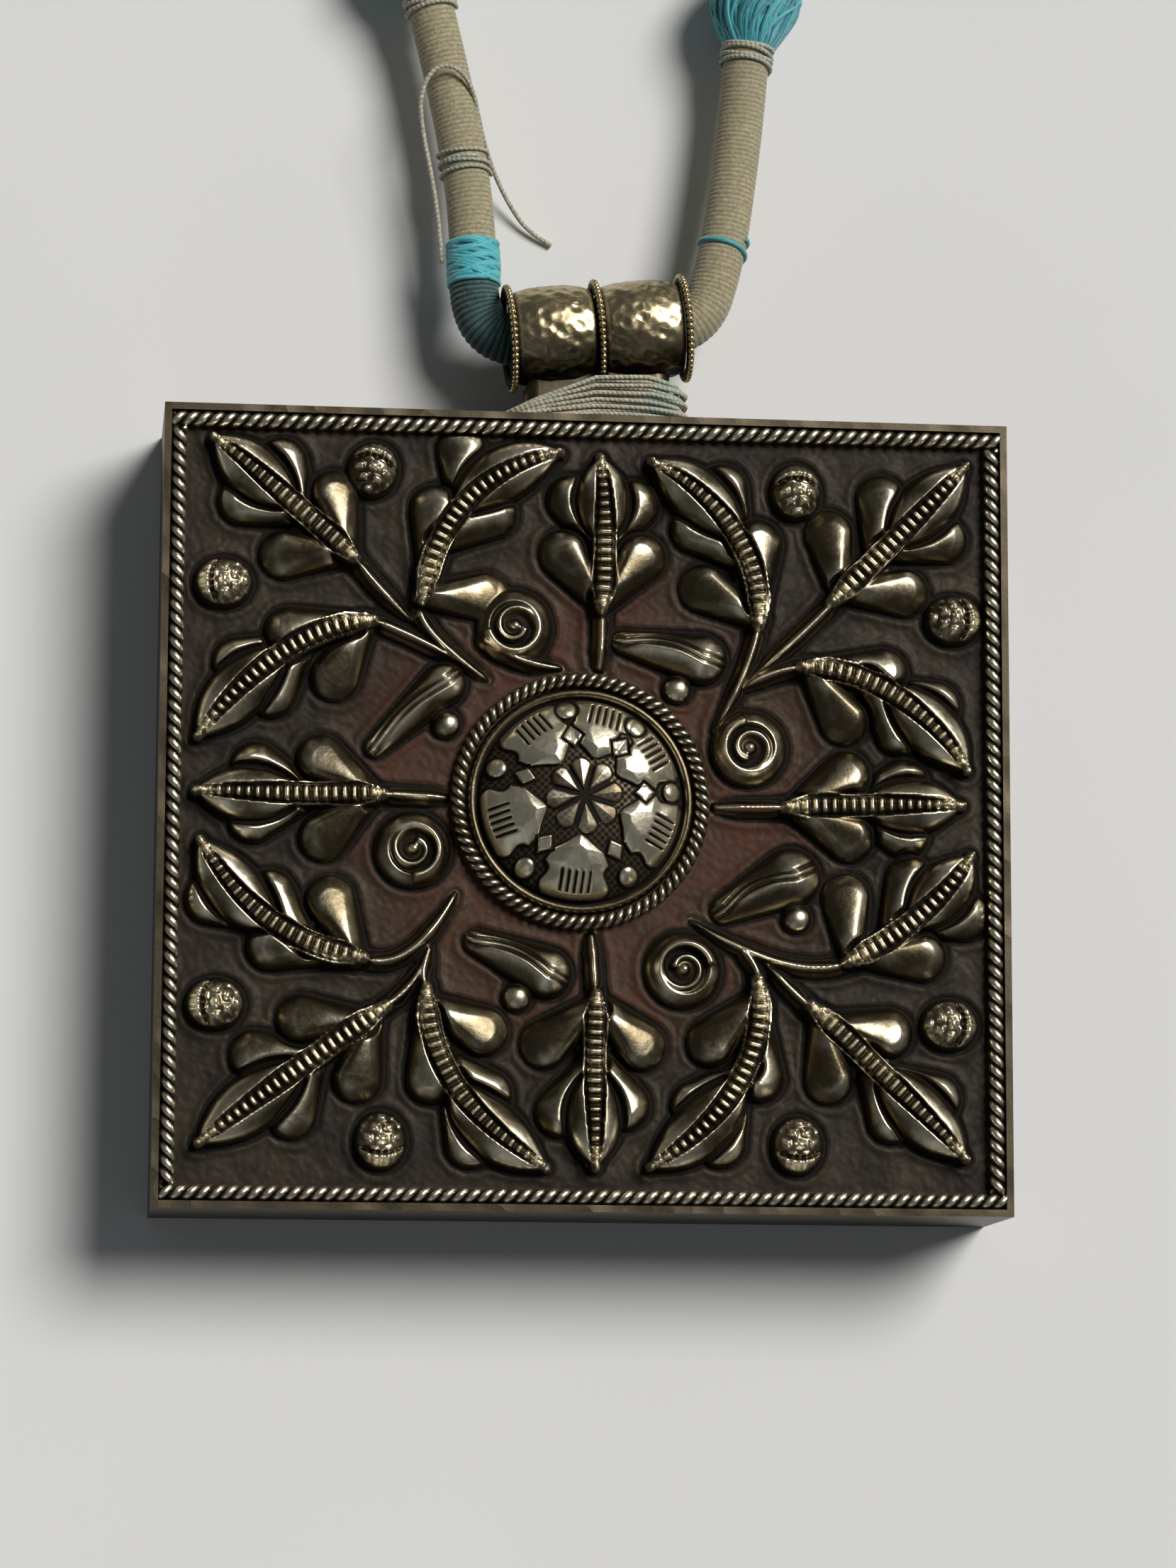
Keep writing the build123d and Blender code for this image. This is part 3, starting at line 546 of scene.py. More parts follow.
@dataclass
class Studio:
    """Camera, lamps, world and the pale floor."""

    camera_at: tuple[float, float, float] = (-51.06, -71.11, 479.47)
    camera_turn: tuple[float, float, float] = (0.155962, -0.109733, 0.012650)
    lens: float = 109.26
    floor_colour: Colour = (0.72, 0.72, 0.71)
    floor_reach: float = 6.0
    key_from: tuple[float, float, float] = (0.36, 0.30, 0.60)
    key_level: float = 3.3
    key_spread: float = math.radians(28.0)
    key_tint: Colour = (1.0, 0.985, 0.96)
    fill_from: tuple[float, float, float] = (-0.25, -0.6, 0.35)
    fill_size: float = 0.5
    fill_watts: float = 0.2
    fill_tint: Colour = (0.86, 0.93, 1.0)
    world_level: float = 0.09

    def build(self) -> None:
        """Builds the studio."""
        self.build_camera()
        key = {"energy": self.key_level, "angle": self.key_spread, "color": self.key_tint}
        self.build_light("window_light", "SUN", self.key_from, key)
        fill = {"energy": self.fill_watts, "size": self.fill_size, "color": self.fill_tint}
        self.build_light("fill_lamp", "AREA", self.fill_from, fill)
        self.build_world()
        self.build_floor()
        bpy.context.scene.view_settings.view_transform = "Standard"

    def build_camera(self) -> None:
        """Sets the camera where the photograph was taken: a turn about the axis of its turn vector."""
        data = bpy.data.cameras.new("camera")
        data.sensor_width = 36.0
        data.sensor_fit = "AUTO"
        data.lens = self.lens
        camera = bpy.data.objects.new("camera", data)
        turn = Vector(self.camera_turn)
        camera.location = Vector(self.camera_at) * MM
        camera.rotation_euler = Quaternion(turn.normalized(), turn.length).to_euler()
        bpy.context.scene.collection.objects.link(camera)
        bpy.context.scene.camera = camera

    def build_light(self, name: str, kind: str, place: Sequence[float], settings: dict[str, Any]) -> None:
        """Sets a light that looks at the box.

        Args:
            name: the light's name.
            kind: SUN, which falls alike on all of the floor, or AREA, a square lamp.
            place: where it is, in metres.
            settings: its power, size and tint.
        """
        data = bpy.data.lights.new(name, kind)
        for key, value in settings.items():
            setattr(data, key, value)
        light = bpy.data.objects.new(name, data)
        light.location = place
        light.rotation_euler = (-Vector(place)).to_track_quat("-Z", "Y").to_euler()
        bpy.context.scene.collection.objects.link(light)

    def build_world(self) -> None:
        """Lights the box from all round with even pale grey."""
        world = bpy.data.worlds.new("room")
        world.use_nodes = True
        background = world.node_tree.nodes["Background"]
        background.inputs["Color"].default_value = (0.93, 0.96, 1.0, 1.0)
        background.inputs["Strength"].default_value = self.world_level
        bpy.context.scene.world = world

    def build_floor(self) -> None:
        """Lays the floor: a flat square at height 0."""
        shader = Shader("pale_board")
        cloud = shader.noise(shader.place(), 9.0, 3.0)
        tone = shader.mix(cloud.step(0.3, 0.7), self.floor_colour, tuple(0.97 * c for c in self.floor_colour))
        material = shader.surface(Base_Color=tone, Roughness=0.75, Specular_IOR_Level=0.2)
        mesh = bpy.data.meshes.new("floor")
        reach = self.floor_reach
        corners = [(-reach, -reach, 0), (reach, -reach, 0), (reach, reach, 0), (-reach, reach, 0)]
        mesh.from_pydata(corners, [], [(0, 1, 2, 3)])
        mesh.materials.append(material)
        floor = bpy.data.objects.new("floor", mesh)
        bpy.context.scene.collection.objects.link(floor)


def wound(path: Array, radius: float, pitch: float, rise: float, sides: int = 18) -> Surface:
    """A cord wound with thread: radius + rise * |cos(pi (along / pitch + turns round))| along a path."""
    run = lengths_along(path)[:, None]
    turns = np.arange(sides)[None, :] / sides
    return tube(path, radius + rise * np.abs(np.cos(math.pi * (run / pitch + turns))), sides)


def winding(
    path: Array, radius: Any, turns: float, thread: float, spread: float, seed: float = 0.0
) -> Surface:
    """A thread wound round a path: path + radius (cos a * side + sin a * top), with a running on along it.

    Args:
        path: the middle of what it is wound on, in millimetres.
        radius: how far out the thread's middle lies, one number or one for each step.
        turns: how often it goes round.
        thread: the thread's own radius.
        spread: how unevenly the turns lie, in millimetres.
        seed: where the unevenness starts.

    Returns:
        The thread's surface.
    """
    share = np.linspace(0.0, 1.0, int(26 * turns) + 2)
    run = lengths_along(path)
    places = np.clip(share * run[-1] + spread * np.sin(share * 9.1 * turns + seed), 0.0, run[-1])
    middle = points_at(path, places)
    heading, side, top = axes_along(path, UP)
    nearest = np.clip(np.searchsorted(run, places), 0, len(path) - 1)
    angle = (TURN * turns * share + seed)[:, None]
    reach = np.broadcast_to(np.asarray(radius, float), share.shape)[:, None]
    route = middle + reach * (np.cos(angle) * side[nearest] + np.sin(angle) * top[nearest])
    return tube(route, thread, 6, heading[nearest])


@dataclass
class NeckCord:
    """The wrapped neck cord: two strands, their bands, tufts and ties, and the put-away coil."""

    radius: float = 2.36
    thread_pitch: float = 0.5
    thread_rise: float = 0.07
    bail_middle: tuple[float, float, float] = (1.4, 50.1, 7.7)
    bail_lean: float = math.radians(5.5)
    coil_centre: tuple[float, float] = (0.6, 131.0)
    coil_sides: int = 16
    tie_place: tuple[float, float] = (27.85, 5.98)
    tie_reach: tuple[float, float] = (4.2, 5.45)
    left_end: tuple[float, float, float] = (-16.0, 86.5, 5.7)
    right_end: tuple[float, float, float] = (17.4, 81.6, 5.7)
    tuft_length: float = 11.0
    tuft_radius: float = 5.0
    tuft_strands: int = 150
    pieces: list[bpy.types.Object] = field(default_factory=list)

    def on_bail(self, distance: float) -> Array:
        """A point on the bail's axis, by its distance from the bail's middle."""
        axis = np.array([math.cos(self.bail_lean), math.sin(self.bail_lean), 0.0])
        return np.array(self.bail_middle) + distance * axis

    def route(self) -> Array:
        """The route's points from the left mouth by the coil to the right mouth.

        The coil turns three half turns inwards and out again: its radius and height run straight between
        its crossings of the coil's own X axis.

        Returns:
            The control points, in millimetres.
        """
        left = [self.on_bail(-7.0), self.on_bail(-12.35), (-11.2, 61.5, 6.9), (-12.2, 69.5, 6.2)]
        left += [(-13.8, 77.5, 5.7), self.left_end, (-18.16, 97.3, 5.7)]
        left += [(-19.7, 105.1, 5.7), (-29.6, 122.0, 3.3)]
        half_turns = (np.arange(3 * self.coil_sides // 2) + 0.5) / (self.coil_sides // 2)
        angle = math.pi - math.pi * half_turns
        radius = np.interp(half_turns, [0, 1, 2, 3], [30.2, 27.525, 25.325, 30.2]) / 0.981
        height = np.interp(half_turns, [0, 1, 2, 3], [3.3, 3.3, 8.65, 8.65])
        x, y = self.coil_centre
        coil = np.stack([x + radius * np.cos(angle), y + radius * np.sin(angle), height], axis=1)
        right = [(30.8, 122.0, 8.65), (20.6, 100.3, 5.7), (19.2, 92.4, 5.7)]
        right += [self.right_end, (16.8, 74.5, 5.7)]
        right += [(15.9, 67.5, 6.2), (14.6, 59.0, 7.0), self.on_bail(10.9), self.on_bail(7.0)]
        return np.concatenate([np.array(left), coil, np.array(right)])

    def build(self, finishes: "Finishes") -> None:
        """Builds the cord and what is on it.

        Args:
            finishes: the finishes to dress the pieces with.
        """
        path = even_path(spline_points("neck_route", self.route()), 0.16)
        total = lengths_along(path)[-1]
        body = wound(path, self.radius, self.thread_pitch, self.thread_rise)
        nodes = ("left_cord", "right_cord", "cord_coil")
        cord = piece("neck_cord", body, Body.FRONT, finishes.cord, nodes)
        inside = wound(even_path(np.array([self.on_bail(-8.0), self.on_bail(8.0)]), 0.16), 2.2, 0.62, 0.1)
        piece("cord_through_bail", inside, Body.FRONT, finishes.cord, ("cord_in_bail",))
        self.build_bands(path, total, finishes)
        self.build_tufts(path, finishes)
        self.build_tie(finishes)

    def add(self, name: str, surface: Surface, slot: str, material: Material, node: str) -> None:
        """Adds a piece that sits on the cord."""
        self.pieces.append(piece(name, surface, Body.FRONT, material, (node,)))

    def build_bands(self, path: Array, total: float, finishes: "Finishes") -> None:
        """Lays the dark whipping, the floss band, the ties and the single turns on the strands.

        Args:
            path: the cord's line.
            total: its length.
            finishes: the finishes to dress the pieces with.
        """
        whipping = wound(stretch(path, 0.0, 10.2, 0.1), 2.42, 0.5, 0.14, 24)
        self.add("left_dark_whipping", whipping, "dark_whipping", finishes.whipping, "left_whipping")
        band = stretch(path, 9.4, 13.6, 0.2)
        strands = [winding(band, 2.5 + 0.05 * n, 9.0 + n, 0.24, 0.3 + 0.25 * n, 1.7 * n) for n in range(3)]
        core = tube(band, 2.48, 24)
        floss = merged([strand.with_value("shade", 0.35 + 0.3 * n) for n, strand in enumerate(strands)])
        # painted shade: the core under the wound strands is darker than the strands
        floss = merged([floss, core.with_value("shade", 0.25)])
        self.add("left_floss_wrap", floss, "turquoise_floss", finishes.floss, "left_floss_band")
        turn = winding(stretch(path, total - 13.4, total - 11.6, 0.2), 2.5, 1.25, 0.26, 0.1, 2.6)
        turn.with_value("shade", 0.5)
        self.add("right_floss_strand", turn, "turquoise_floss", finishes.floss, "right_floss_turn")
        spots = [stretch(path, 21.0 + 1.3 * n, 22.6 + 1.3 * n, 0.2) for n in range(2)]
        turns = merged([winding(spot, 2.6, 1.6, 0.2, 0.15, n) for n, spot in enumerate(spots)])
        self.add("stray_turns", turns, "sage_thread", finishes.sage, "thread_turns")
        for name, end, sign in self.ends():
            place = self.run_to(path, end)
            spot = sorted((place - sign * 1.9, place + sign * 0.5))
            tie = winding(stretch(path, spot[0], spot[1], 0.2), 2.62, 4.0, 0.24, 0.2)
            self.add(f"{name}_tuft_tie", tie, "sage_thread", finishes.sage, f"{name}_tuft_binding")

    def ends(self) -> list[tuple[str, Sequence[float], float]]:
        """Each strand's name, where its tuft starts, and which way along the cord the tuft runs."""
        return [("left", self.left_end, 1.0), ("right", self.right_end, -1.0)]

    def run_to(self, path: Array, place: Sequence[float]) -> float:
        """How far along the path its nearest point to a place is."""
        return float(lengths_along(path)[np.argmin(np.linalg.norm(path - np.array(place), axis=1))])

    def build_tufts(self, path: Array, finishes: "Finishes") -> None:
        """Builds the floss tufts: strands leave the cord, swell out and draw in towards the tuft's end.

        A strand's distance from the cord's line is the cord's radius plus a share of a sine over its run,
        fullest at six tenths, and its angle round the cord wanders with its run.

        Args:
            path: the cord's line.
            finishes: the finishes to dress the pieces with.
        """
        random = np.random.default_rng(7)
        for name, end, sign in self.ends():
            start = self.run_to(path, end)
            spot = sorted((start, start + sign * self.tuft_length))
            middle = stretch(path, spot[0], spot[1], self.tuft_length / 11)
            middle = middle if sign > 0 else middle[::-1]
            _, side, top = axes_along(middle, UP)
            share = np.linspace(0.0, 1.0, len(middle))
            swell = np.sin(math.pi * share**1.25) ** 0.8
            # painted shade: the tuft's inner core is darker than its loose strands
            strands = [tube(middle, 2.35 + 2.0 * swell, 20).with_value("shade", 0.1)]
            for _ in range(self.tuft_strands):
                turn, drift, out = random.uniform(0, TURN), random.normal(0, 0.5), random.uniform(0.72, 1.0)
                angle = (turn + drift * share + 0.15 * np.sin(share * random.uniform(4, 9)))[:, None]
                reach = (2.3 + out * (self.tuft_radius - 2.5) * swell)[:, None]
                route = middle + reach * (np.cos(angle) * side + np.sin(angle) * top)
                route[:, 2] = np.maximum(route[:, 2], 0.3)
                strand = tube(route, np.interp(share, [0, 0.2, 1], [0.16, 0.24, 0.1]), 4, side, capped=False)
                strands.append(strand.with_value("shade", random.uniform(0.15, 0.95)))
            self.add(f"{name}_tuft_floss", merged(strands), "turquoise_floss", finishes.floss, f"{name}_tuft")

    def build_tie(self, finishes: "Finishes") -> None:
        """Wraps the tape round the coil's turns: a flat rounded oblong in the plane across them."""
        wide, tall = squared(TURN * np.arange(49) / 48, 0.5, 0.5)
        y = self.coil_centre[1] + self.tie_place[0] + self.tie_reach[0] * wide
        z = self.tie_place[1] + self.tie_reach[1] * tall
        loop = np.stack([np.full(49, self.coil_centre[0]), y, z], axis=1)
        tape = tube(loop, 0.28, 8, (1.0, 0.0, 0.0), capped=False, flat=5.0)
        self.add("coil_tape", tape, "tie_cloth", finishes.tape, "coil_tie")


@dataclass
class Threads:
    """The loose sage thread beside the left strand and the bundle wound round the bail's neck."""

    stray_radius: float = 0.24
    bundle_strands: int = 18

    def build(self, finishes: "Finishes") -> None:
        """Builds the threads.

        Args:
            finishes: the finishes to dress the pieces with.
        """
        route = [(-14.35, 57.5, 7.2), (-14.75, 62, 7.4), (-15.6, 67, 7.6)]
        route += [(-16.6, 71.5, 7.9), (-16.9, 75, 8.7)]
        route += [(-15.6, 77.6, 9.3), (-13.4, 78, 9.3), (-11.4, 76.2, 8.0), (-10.4, 72.6, 5.6), (-9, 69, 3.2)]
        route += [(-7, 65.6, 1.4), (-4.8, 62.8, 0.6), (-2.4, 61.6, 0.4)]
        path = even_path(spline_points("stray_route", np.array(route, float)), 0.3)
        thread = tube(path, self.stray_radius, 8)
        nodes = ("stray_thread",)
        stray = piece("stray_sage_thread", thread, Body.FRONT, finishes.sage, nodes)
        self.build_bundle(finishes)

    def build_bundle(self, finishes: "Finishes") -> None:
        """Winds the bundle round the neck: each strand is a flattened loop that rises to the right.

        A loop is a squared-off circle: its x spans the binding's solid, its z goes over and under the tongue,
        and its y climbs with x, so that the strands sweep up from the lower left.

        Args:
            finishes: the finishes to dress the pieces with.
        """
        middle, half = solid_box("neck_binding")
        wide, tall = squared(np.linspace(0.0, TURN, 121), 0.75, 0.6)
        place = 0.5 + 0.5 * wide
        climb = np.interp(place, [0.0, 0.2, 0.5, 0.8, 1.0], [0.12, 0.5, 0.95, 0.98, 0.8])
        strands = []
        for n in range(self.bundle_strands):
            share = n / (self.bundle_strands - 1)
            x = middle[0] - 0.4 + (half[0] + 1.3) * wide * (0.96 + 0.04 * math.cos(5 * n))
            y = 40.35 + 4.6 * share * climb + 0.1 * np.sin(5 * place + 2.4 * n)
            z = middle[2] + (half[2] + 0.6 + 0.3 * (n % 3)) * tall
            loop = np.stack([x, y, z], axis=1)
            strands.append(tube(loop, 0.21 + 0.03 * (n % 2), 6, (0.0, 1.0, 0.0), capped=False))
        bundle = merged(strands)
        piece("neck_thread_bundle", bundle, Body.FRONT, finishes.sage, ("neck_binding",))


CORD = Yarn(
    "khaki_wrap",
    (0.43, 0.385, 0.25),
    (0.25, 0.215, 0.125),
    (0.29, 0.27, 0.17),
    pitch=0.5,
    depth=0.03,
    stain_share=0.5,
    gap=0.35,
)
WHIPPING = Yarn("dark_whip", (0.07, 0.13, 0.12), (0.02, 0.04, 0.04), (0.10, 0.22, 0.22), 0.5)
FLOSS = Floss("turquoise_strands", (0.10, 0.50, 0.56), (0.012, 0.16, 0.20))
SAGE = Yarn("sage_thread", (0.60, 0.56, 0.43), (0.31, 0.29, 0.21), (0.20, 0.42, 0.40), 0.5, gap=0.4)
TAPE = Yarn("undyed_tape", (0.48, 0.42, 0.30), (0.26, 0.22, 0.14), (0.38, 0.32, 0.22), 0.7)
CHASED = AgedMetal("chased_brass")
WIRE = AgedMetal("worn_wire", rough=0.3, worn_all_over=0.05)
RING = AgedMetal("ring_wire", worn_and_lit=(0.55, 0.49, 0.38), worn_all_over=-0.3)
BOSS = AgedMetal("boss_brass", rough=0.34, worn_all_over=0.1)
BAIL = AgedMetal(
    "hammered_brass", worn_and_lit=(0.60, 0.50, 0.29), rough=0.3, marks=900.0, mark_depth=0.1, worn_all_over=0.1
)
BEAD = AgedMetal("bead_brass", worn_and_lit=(0.64, 0.50, 0.26), rough=0.28, worn_all_over=0.3)
CASE = AgedMetal(
    "dull_brass",
    worn_and_lit=(0.20, 0.16, 0.105),
    body=(0.075, 0.06, 0.04),
    rough=0.42,
    marks=260.0,
    mark_depth=0.12,
    worn_all_over=0.1,
)
PAPER = Yarn("old_paper", (0.72, 0.62, 0.44), (0.55, 0.45, 0.29), (0.42, 0.31, 0.18), 0.9)
RIBBON = Yarn("red_ribbon", (0.50, 0.09, 0.07), (0.24, 0.03, 0.03), (0.36, 0.07, 0.05), 0.5)


@dataclass
class Finishes:
    """Every finish, made once."""

    cord: Material = field(default_factory=CORD.make)
    whipping: Material = field(default_factory=WHIPPING.make)
    floss: Material = field(default_factory=FLOSS.make)
    sage: Material = field(default_factory=SAGE.make)
    tape: Material = field(default_factory=TAPE.make)
    chased: Material = field(default_factory=CHASED.make)
    wire: Material = field(default_factory=WIRE.make)
    ring: Material = field(default_factory=RING.make)
    boss: Material = field(default_factory=BOSS.make)
    bail: Material = field(default_factory=BAIL.make)
    bead: Material = field(default_factory=BEAD.make)
    case: Material = field(default_factory=CASE.make)
    paper: Material = field(default_factory=PAPER.make)
    ribbon: Material = field(default_factory=RIBBON.make)


@dataclass
class Case:
    """The plain sheet parts, which keep their solids and get aged metal."""

    plain: tuple[str, ...] = ("side_band", "back_plate", "tray_band", "bail_tongue")

    def dress(self, finishes: Finishes) -> None:
        """Gives the plain parts their metal."""
        for node in self.plain:
            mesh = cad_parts[node].data
            mesh.materials.clear()
            mesh.materials.append(finishes.case)


LEAVES = [
    ((-23.4, 24.6), (-30.5, 30.7), (-37.6, 36.6), [(0.06, 44), (0.36, 28)], [(0.05, 37), (0.34, 26)]),
    ((-16.6, 20.6), (-12.4, 30.6), (-2.9, 36.0), [(0.14, 18), (0.47, 40)], [(0.02, 66), (0.27, 36)]),
    ((-21.5, 18.4), (-30.3, 15.0), (-38.7, 6.4), [(0.05, 42), (0.38, 30)], [(0.12, 14), (0.42, 14)]),
    ((1.3, 20.2), (1.5, 28.0), (1.1, 35.6), [(0.05, 40), (0.38, 32)], [(0.05, 40), (0.36, 32)]),
    ((17.1, 18.8), (14.7, 28.0), (6.3, 35.3), [(0.05, 48), (0.35, 36)], [(0.12, 16), (0.44, 14)]),
    ((24.5, 21.4), (31.4, 28.4), (38.2, 35.7), [(0.08, 56), (0.34, 40)], [(0.1, 46), (0.4, 34)]),
    ((21.4, 14.7), (30.4, 12.2), (38.2, 4.6), [(0.12, 15), (0.43, 12)], [(0.06, 42), (0.35, 32)]),
    ((19.8, 0.5), (29.0, 0.8), (37.6, 1.0), [(0.06, 32), (0.35, 24)], [(0.06, 30), (0.35, 26)]),
    ((25.9, -14.9), (33.0, -10.3), (38.5, -4.0), [(0.05, 64), (0.3, 36)], [(0.1, 34), (0.42, 28)]),
    ((22.2, -19.3), (30.0, -26.7), (37.7, -34.3), [(0.12, 36), (0.45, 22)], [(0.08, 40), (0.37, 22)]),
    ((17.0, -16.8), (15.0, -27.0), (6.3, -35.5), [(0.16, 13), (0.5, 15)], [(0.1, 38), (0.42, 28)]),
    ((0.9, -18.6), (0.7, -27.0), (0.9, -35.6), [(0.05, 50), (0.33, 32)], [(0.07, 52), (0.38, 32)]),
    ((-15.9, -18.2), (-13.0, -27.8), (-4.0, -35.7), [(0.08, 50), (0.33, 30)], [(0.13, 13), (0.48, 16)]),
    ((-19.8, -20.0), (-28.8, -26.6), (-38.0, -33.7), [(0.08, 42), (0.38, 32)], [(0.12, 38), (0.37, 36)]),
    ((-22.1, -15.3), (-31.4, -11.8), (-38.3, -3.9), [(0.14, 15), (0.5, 15)], [(0.04, 46), (0.27, 30)]),
    ((-20.4, 1.0), (-30.0, 0.8), (-38.8, 1.0), [(0.06, 42), (0.36, 22)], [(0.05, 36), (0.36, 28)]),
]
BERRIES = [
    ((-21.7, 33.8), 75),
    ((-36.4, 22.0), 180),
    ((21.0, 32.7), 90),
    ((37.0, 20.0), 0),
    ((36.3, -21.0), 0),
    ((21.0, -33.2), 270),
    ((-20.2, -33.2), 270),
    ((-36.6, -20.0), 180),
]
SCROLLS = [((-7.4, 18.2), 190), ((16.2, 6.4), 100), ((9.6, -15.9), 10), ((-17.3, -4.4), 270)]
BUDS = [
    ((-21.2, 5.8), (-13.2, 13.4), 2.2),
    ((3.6, 17.0), (13.4, 15.0), 2.6),
    ((13.8, -9.8), (22.6, -5.4), 3.0),
    ((-11.0, -13.4), (-2.2, -17.2), 2.5),
]
STEMS = [
    ((-23.2, 24.4), (-20.6, 21.4), (-17.6, 18.6)),
    ((-16.9, 20.3), (-15.4, 17.0), (-10.0, 12.8)),
    ((-21.5, 18.4), (-17.0, 16.6), (-11.6, 13.8)),
    ((17.0, 18.4), (15.4, 13.4), (12.6, 8.0)),
    ((24.6, 21.3), (20.3, 17.0), (15.4, 12.6)),
    ((21.4, 14.7), (18.0, 13.8), (15.0, 12.0)),
    ((25.7, -15.1), (19.0, -15.0), (10.4, -11.0)),
    ((22.0, -19.3), (19.6, -17.0), (17.4, -14.6)),
    ((17.0, -16.6), (16.4, -15.0), (14.6, -12.8)),
    ((-22.0, -15.4), (-17.4, -14.4), (-13.0, -8.6)),
    ((-19.9, -20.0), (-17.0, -17.2), (-15.6, -13.6)),
    ((-15.9, -18.0), (-16.2, -16.4), (-15.4, -14.0)),
    ((-10.3, 16.8), (-7.0, 14.9), (-2.6, 14.2)),
    ((1.3, 20.0), (1.3, 17.0), (1.0, 13.0)),
    ((19.6, 0.5), (16.0, 0.4), (12.0, 0.5)),
    ((0.8, -18.4), (0.6, -15.0), (0.3, -11.5)),
    ((-20.2, 1.0), (-17.0, 0.9), (-13.0, 0.8)),
]


def smooth(value: Array, low: float, high: float) -> Array:
    """A smooth step from 0 at low to 1 at high."""
    share = np.clip((value - low) / (high - low), 0.0, 1.0)
    return share * share * (3.0 - 2.0 * share)


def parabola(spine: Any, share: Any) -> Array:
    """Points at shares of the parabola through three points, which lie at the shares 0, a half and 1."""
    first, second, third = (np.array(point, float) for point in spine)
    ends = (2 * share - 1) * ((share - 1) * first + share * third)
    return ends + 4 * share * (1 - share) * second


def rounded(value: Array, power: float = 0.5) -> Array:
    """A round rise, 1 at 0 and 0 from 1 on: one less the square, to a power."""
    return np.clip(1.0 - value**2, 0.0, 1.0) ** power


def seen_from(x: Array, y: Array, place: Sequence[float], heading: float) -> tuple[Array, Array]:
    """How far points lie ahead of a place and to the left of it, for a heading in radians."""
    off_x, off_y = x - place[0], y - place[1]
    ahead = off_x * math.cos(heading) + off_y * math.sin(heading)
    return ahead, off_y * math.cos(heading) - off_x * math.sin(heading)


def bell(value: Array, width: float) -> Array:
    """A bell curve, 1 at 0."""
    return np.exp(-((value / width) ** 2))


def blurred(field_values: Array, reach: int) -> Array:
    """A field averaged over a square of points, twice, by running sums along each axis."""
    for axis in (0, 1, 0, 1):
        padding = [(reach + 1, reach) if a == axis else (0, 0) for a in (0, 1)]
        sums = np.cumsum(np.pad(field_values, padding, mode="edge"), axis=axis)
        size = 2 * reach + 1
        upper = np.take(sums, np.arange(size, sums.shape[axis]), axis=axis)
        lower = np.take(sums, np.arange(0, sums.shape[axis] - size), axis=axis)
        field_values = (upper - lower) / size
    return field_values


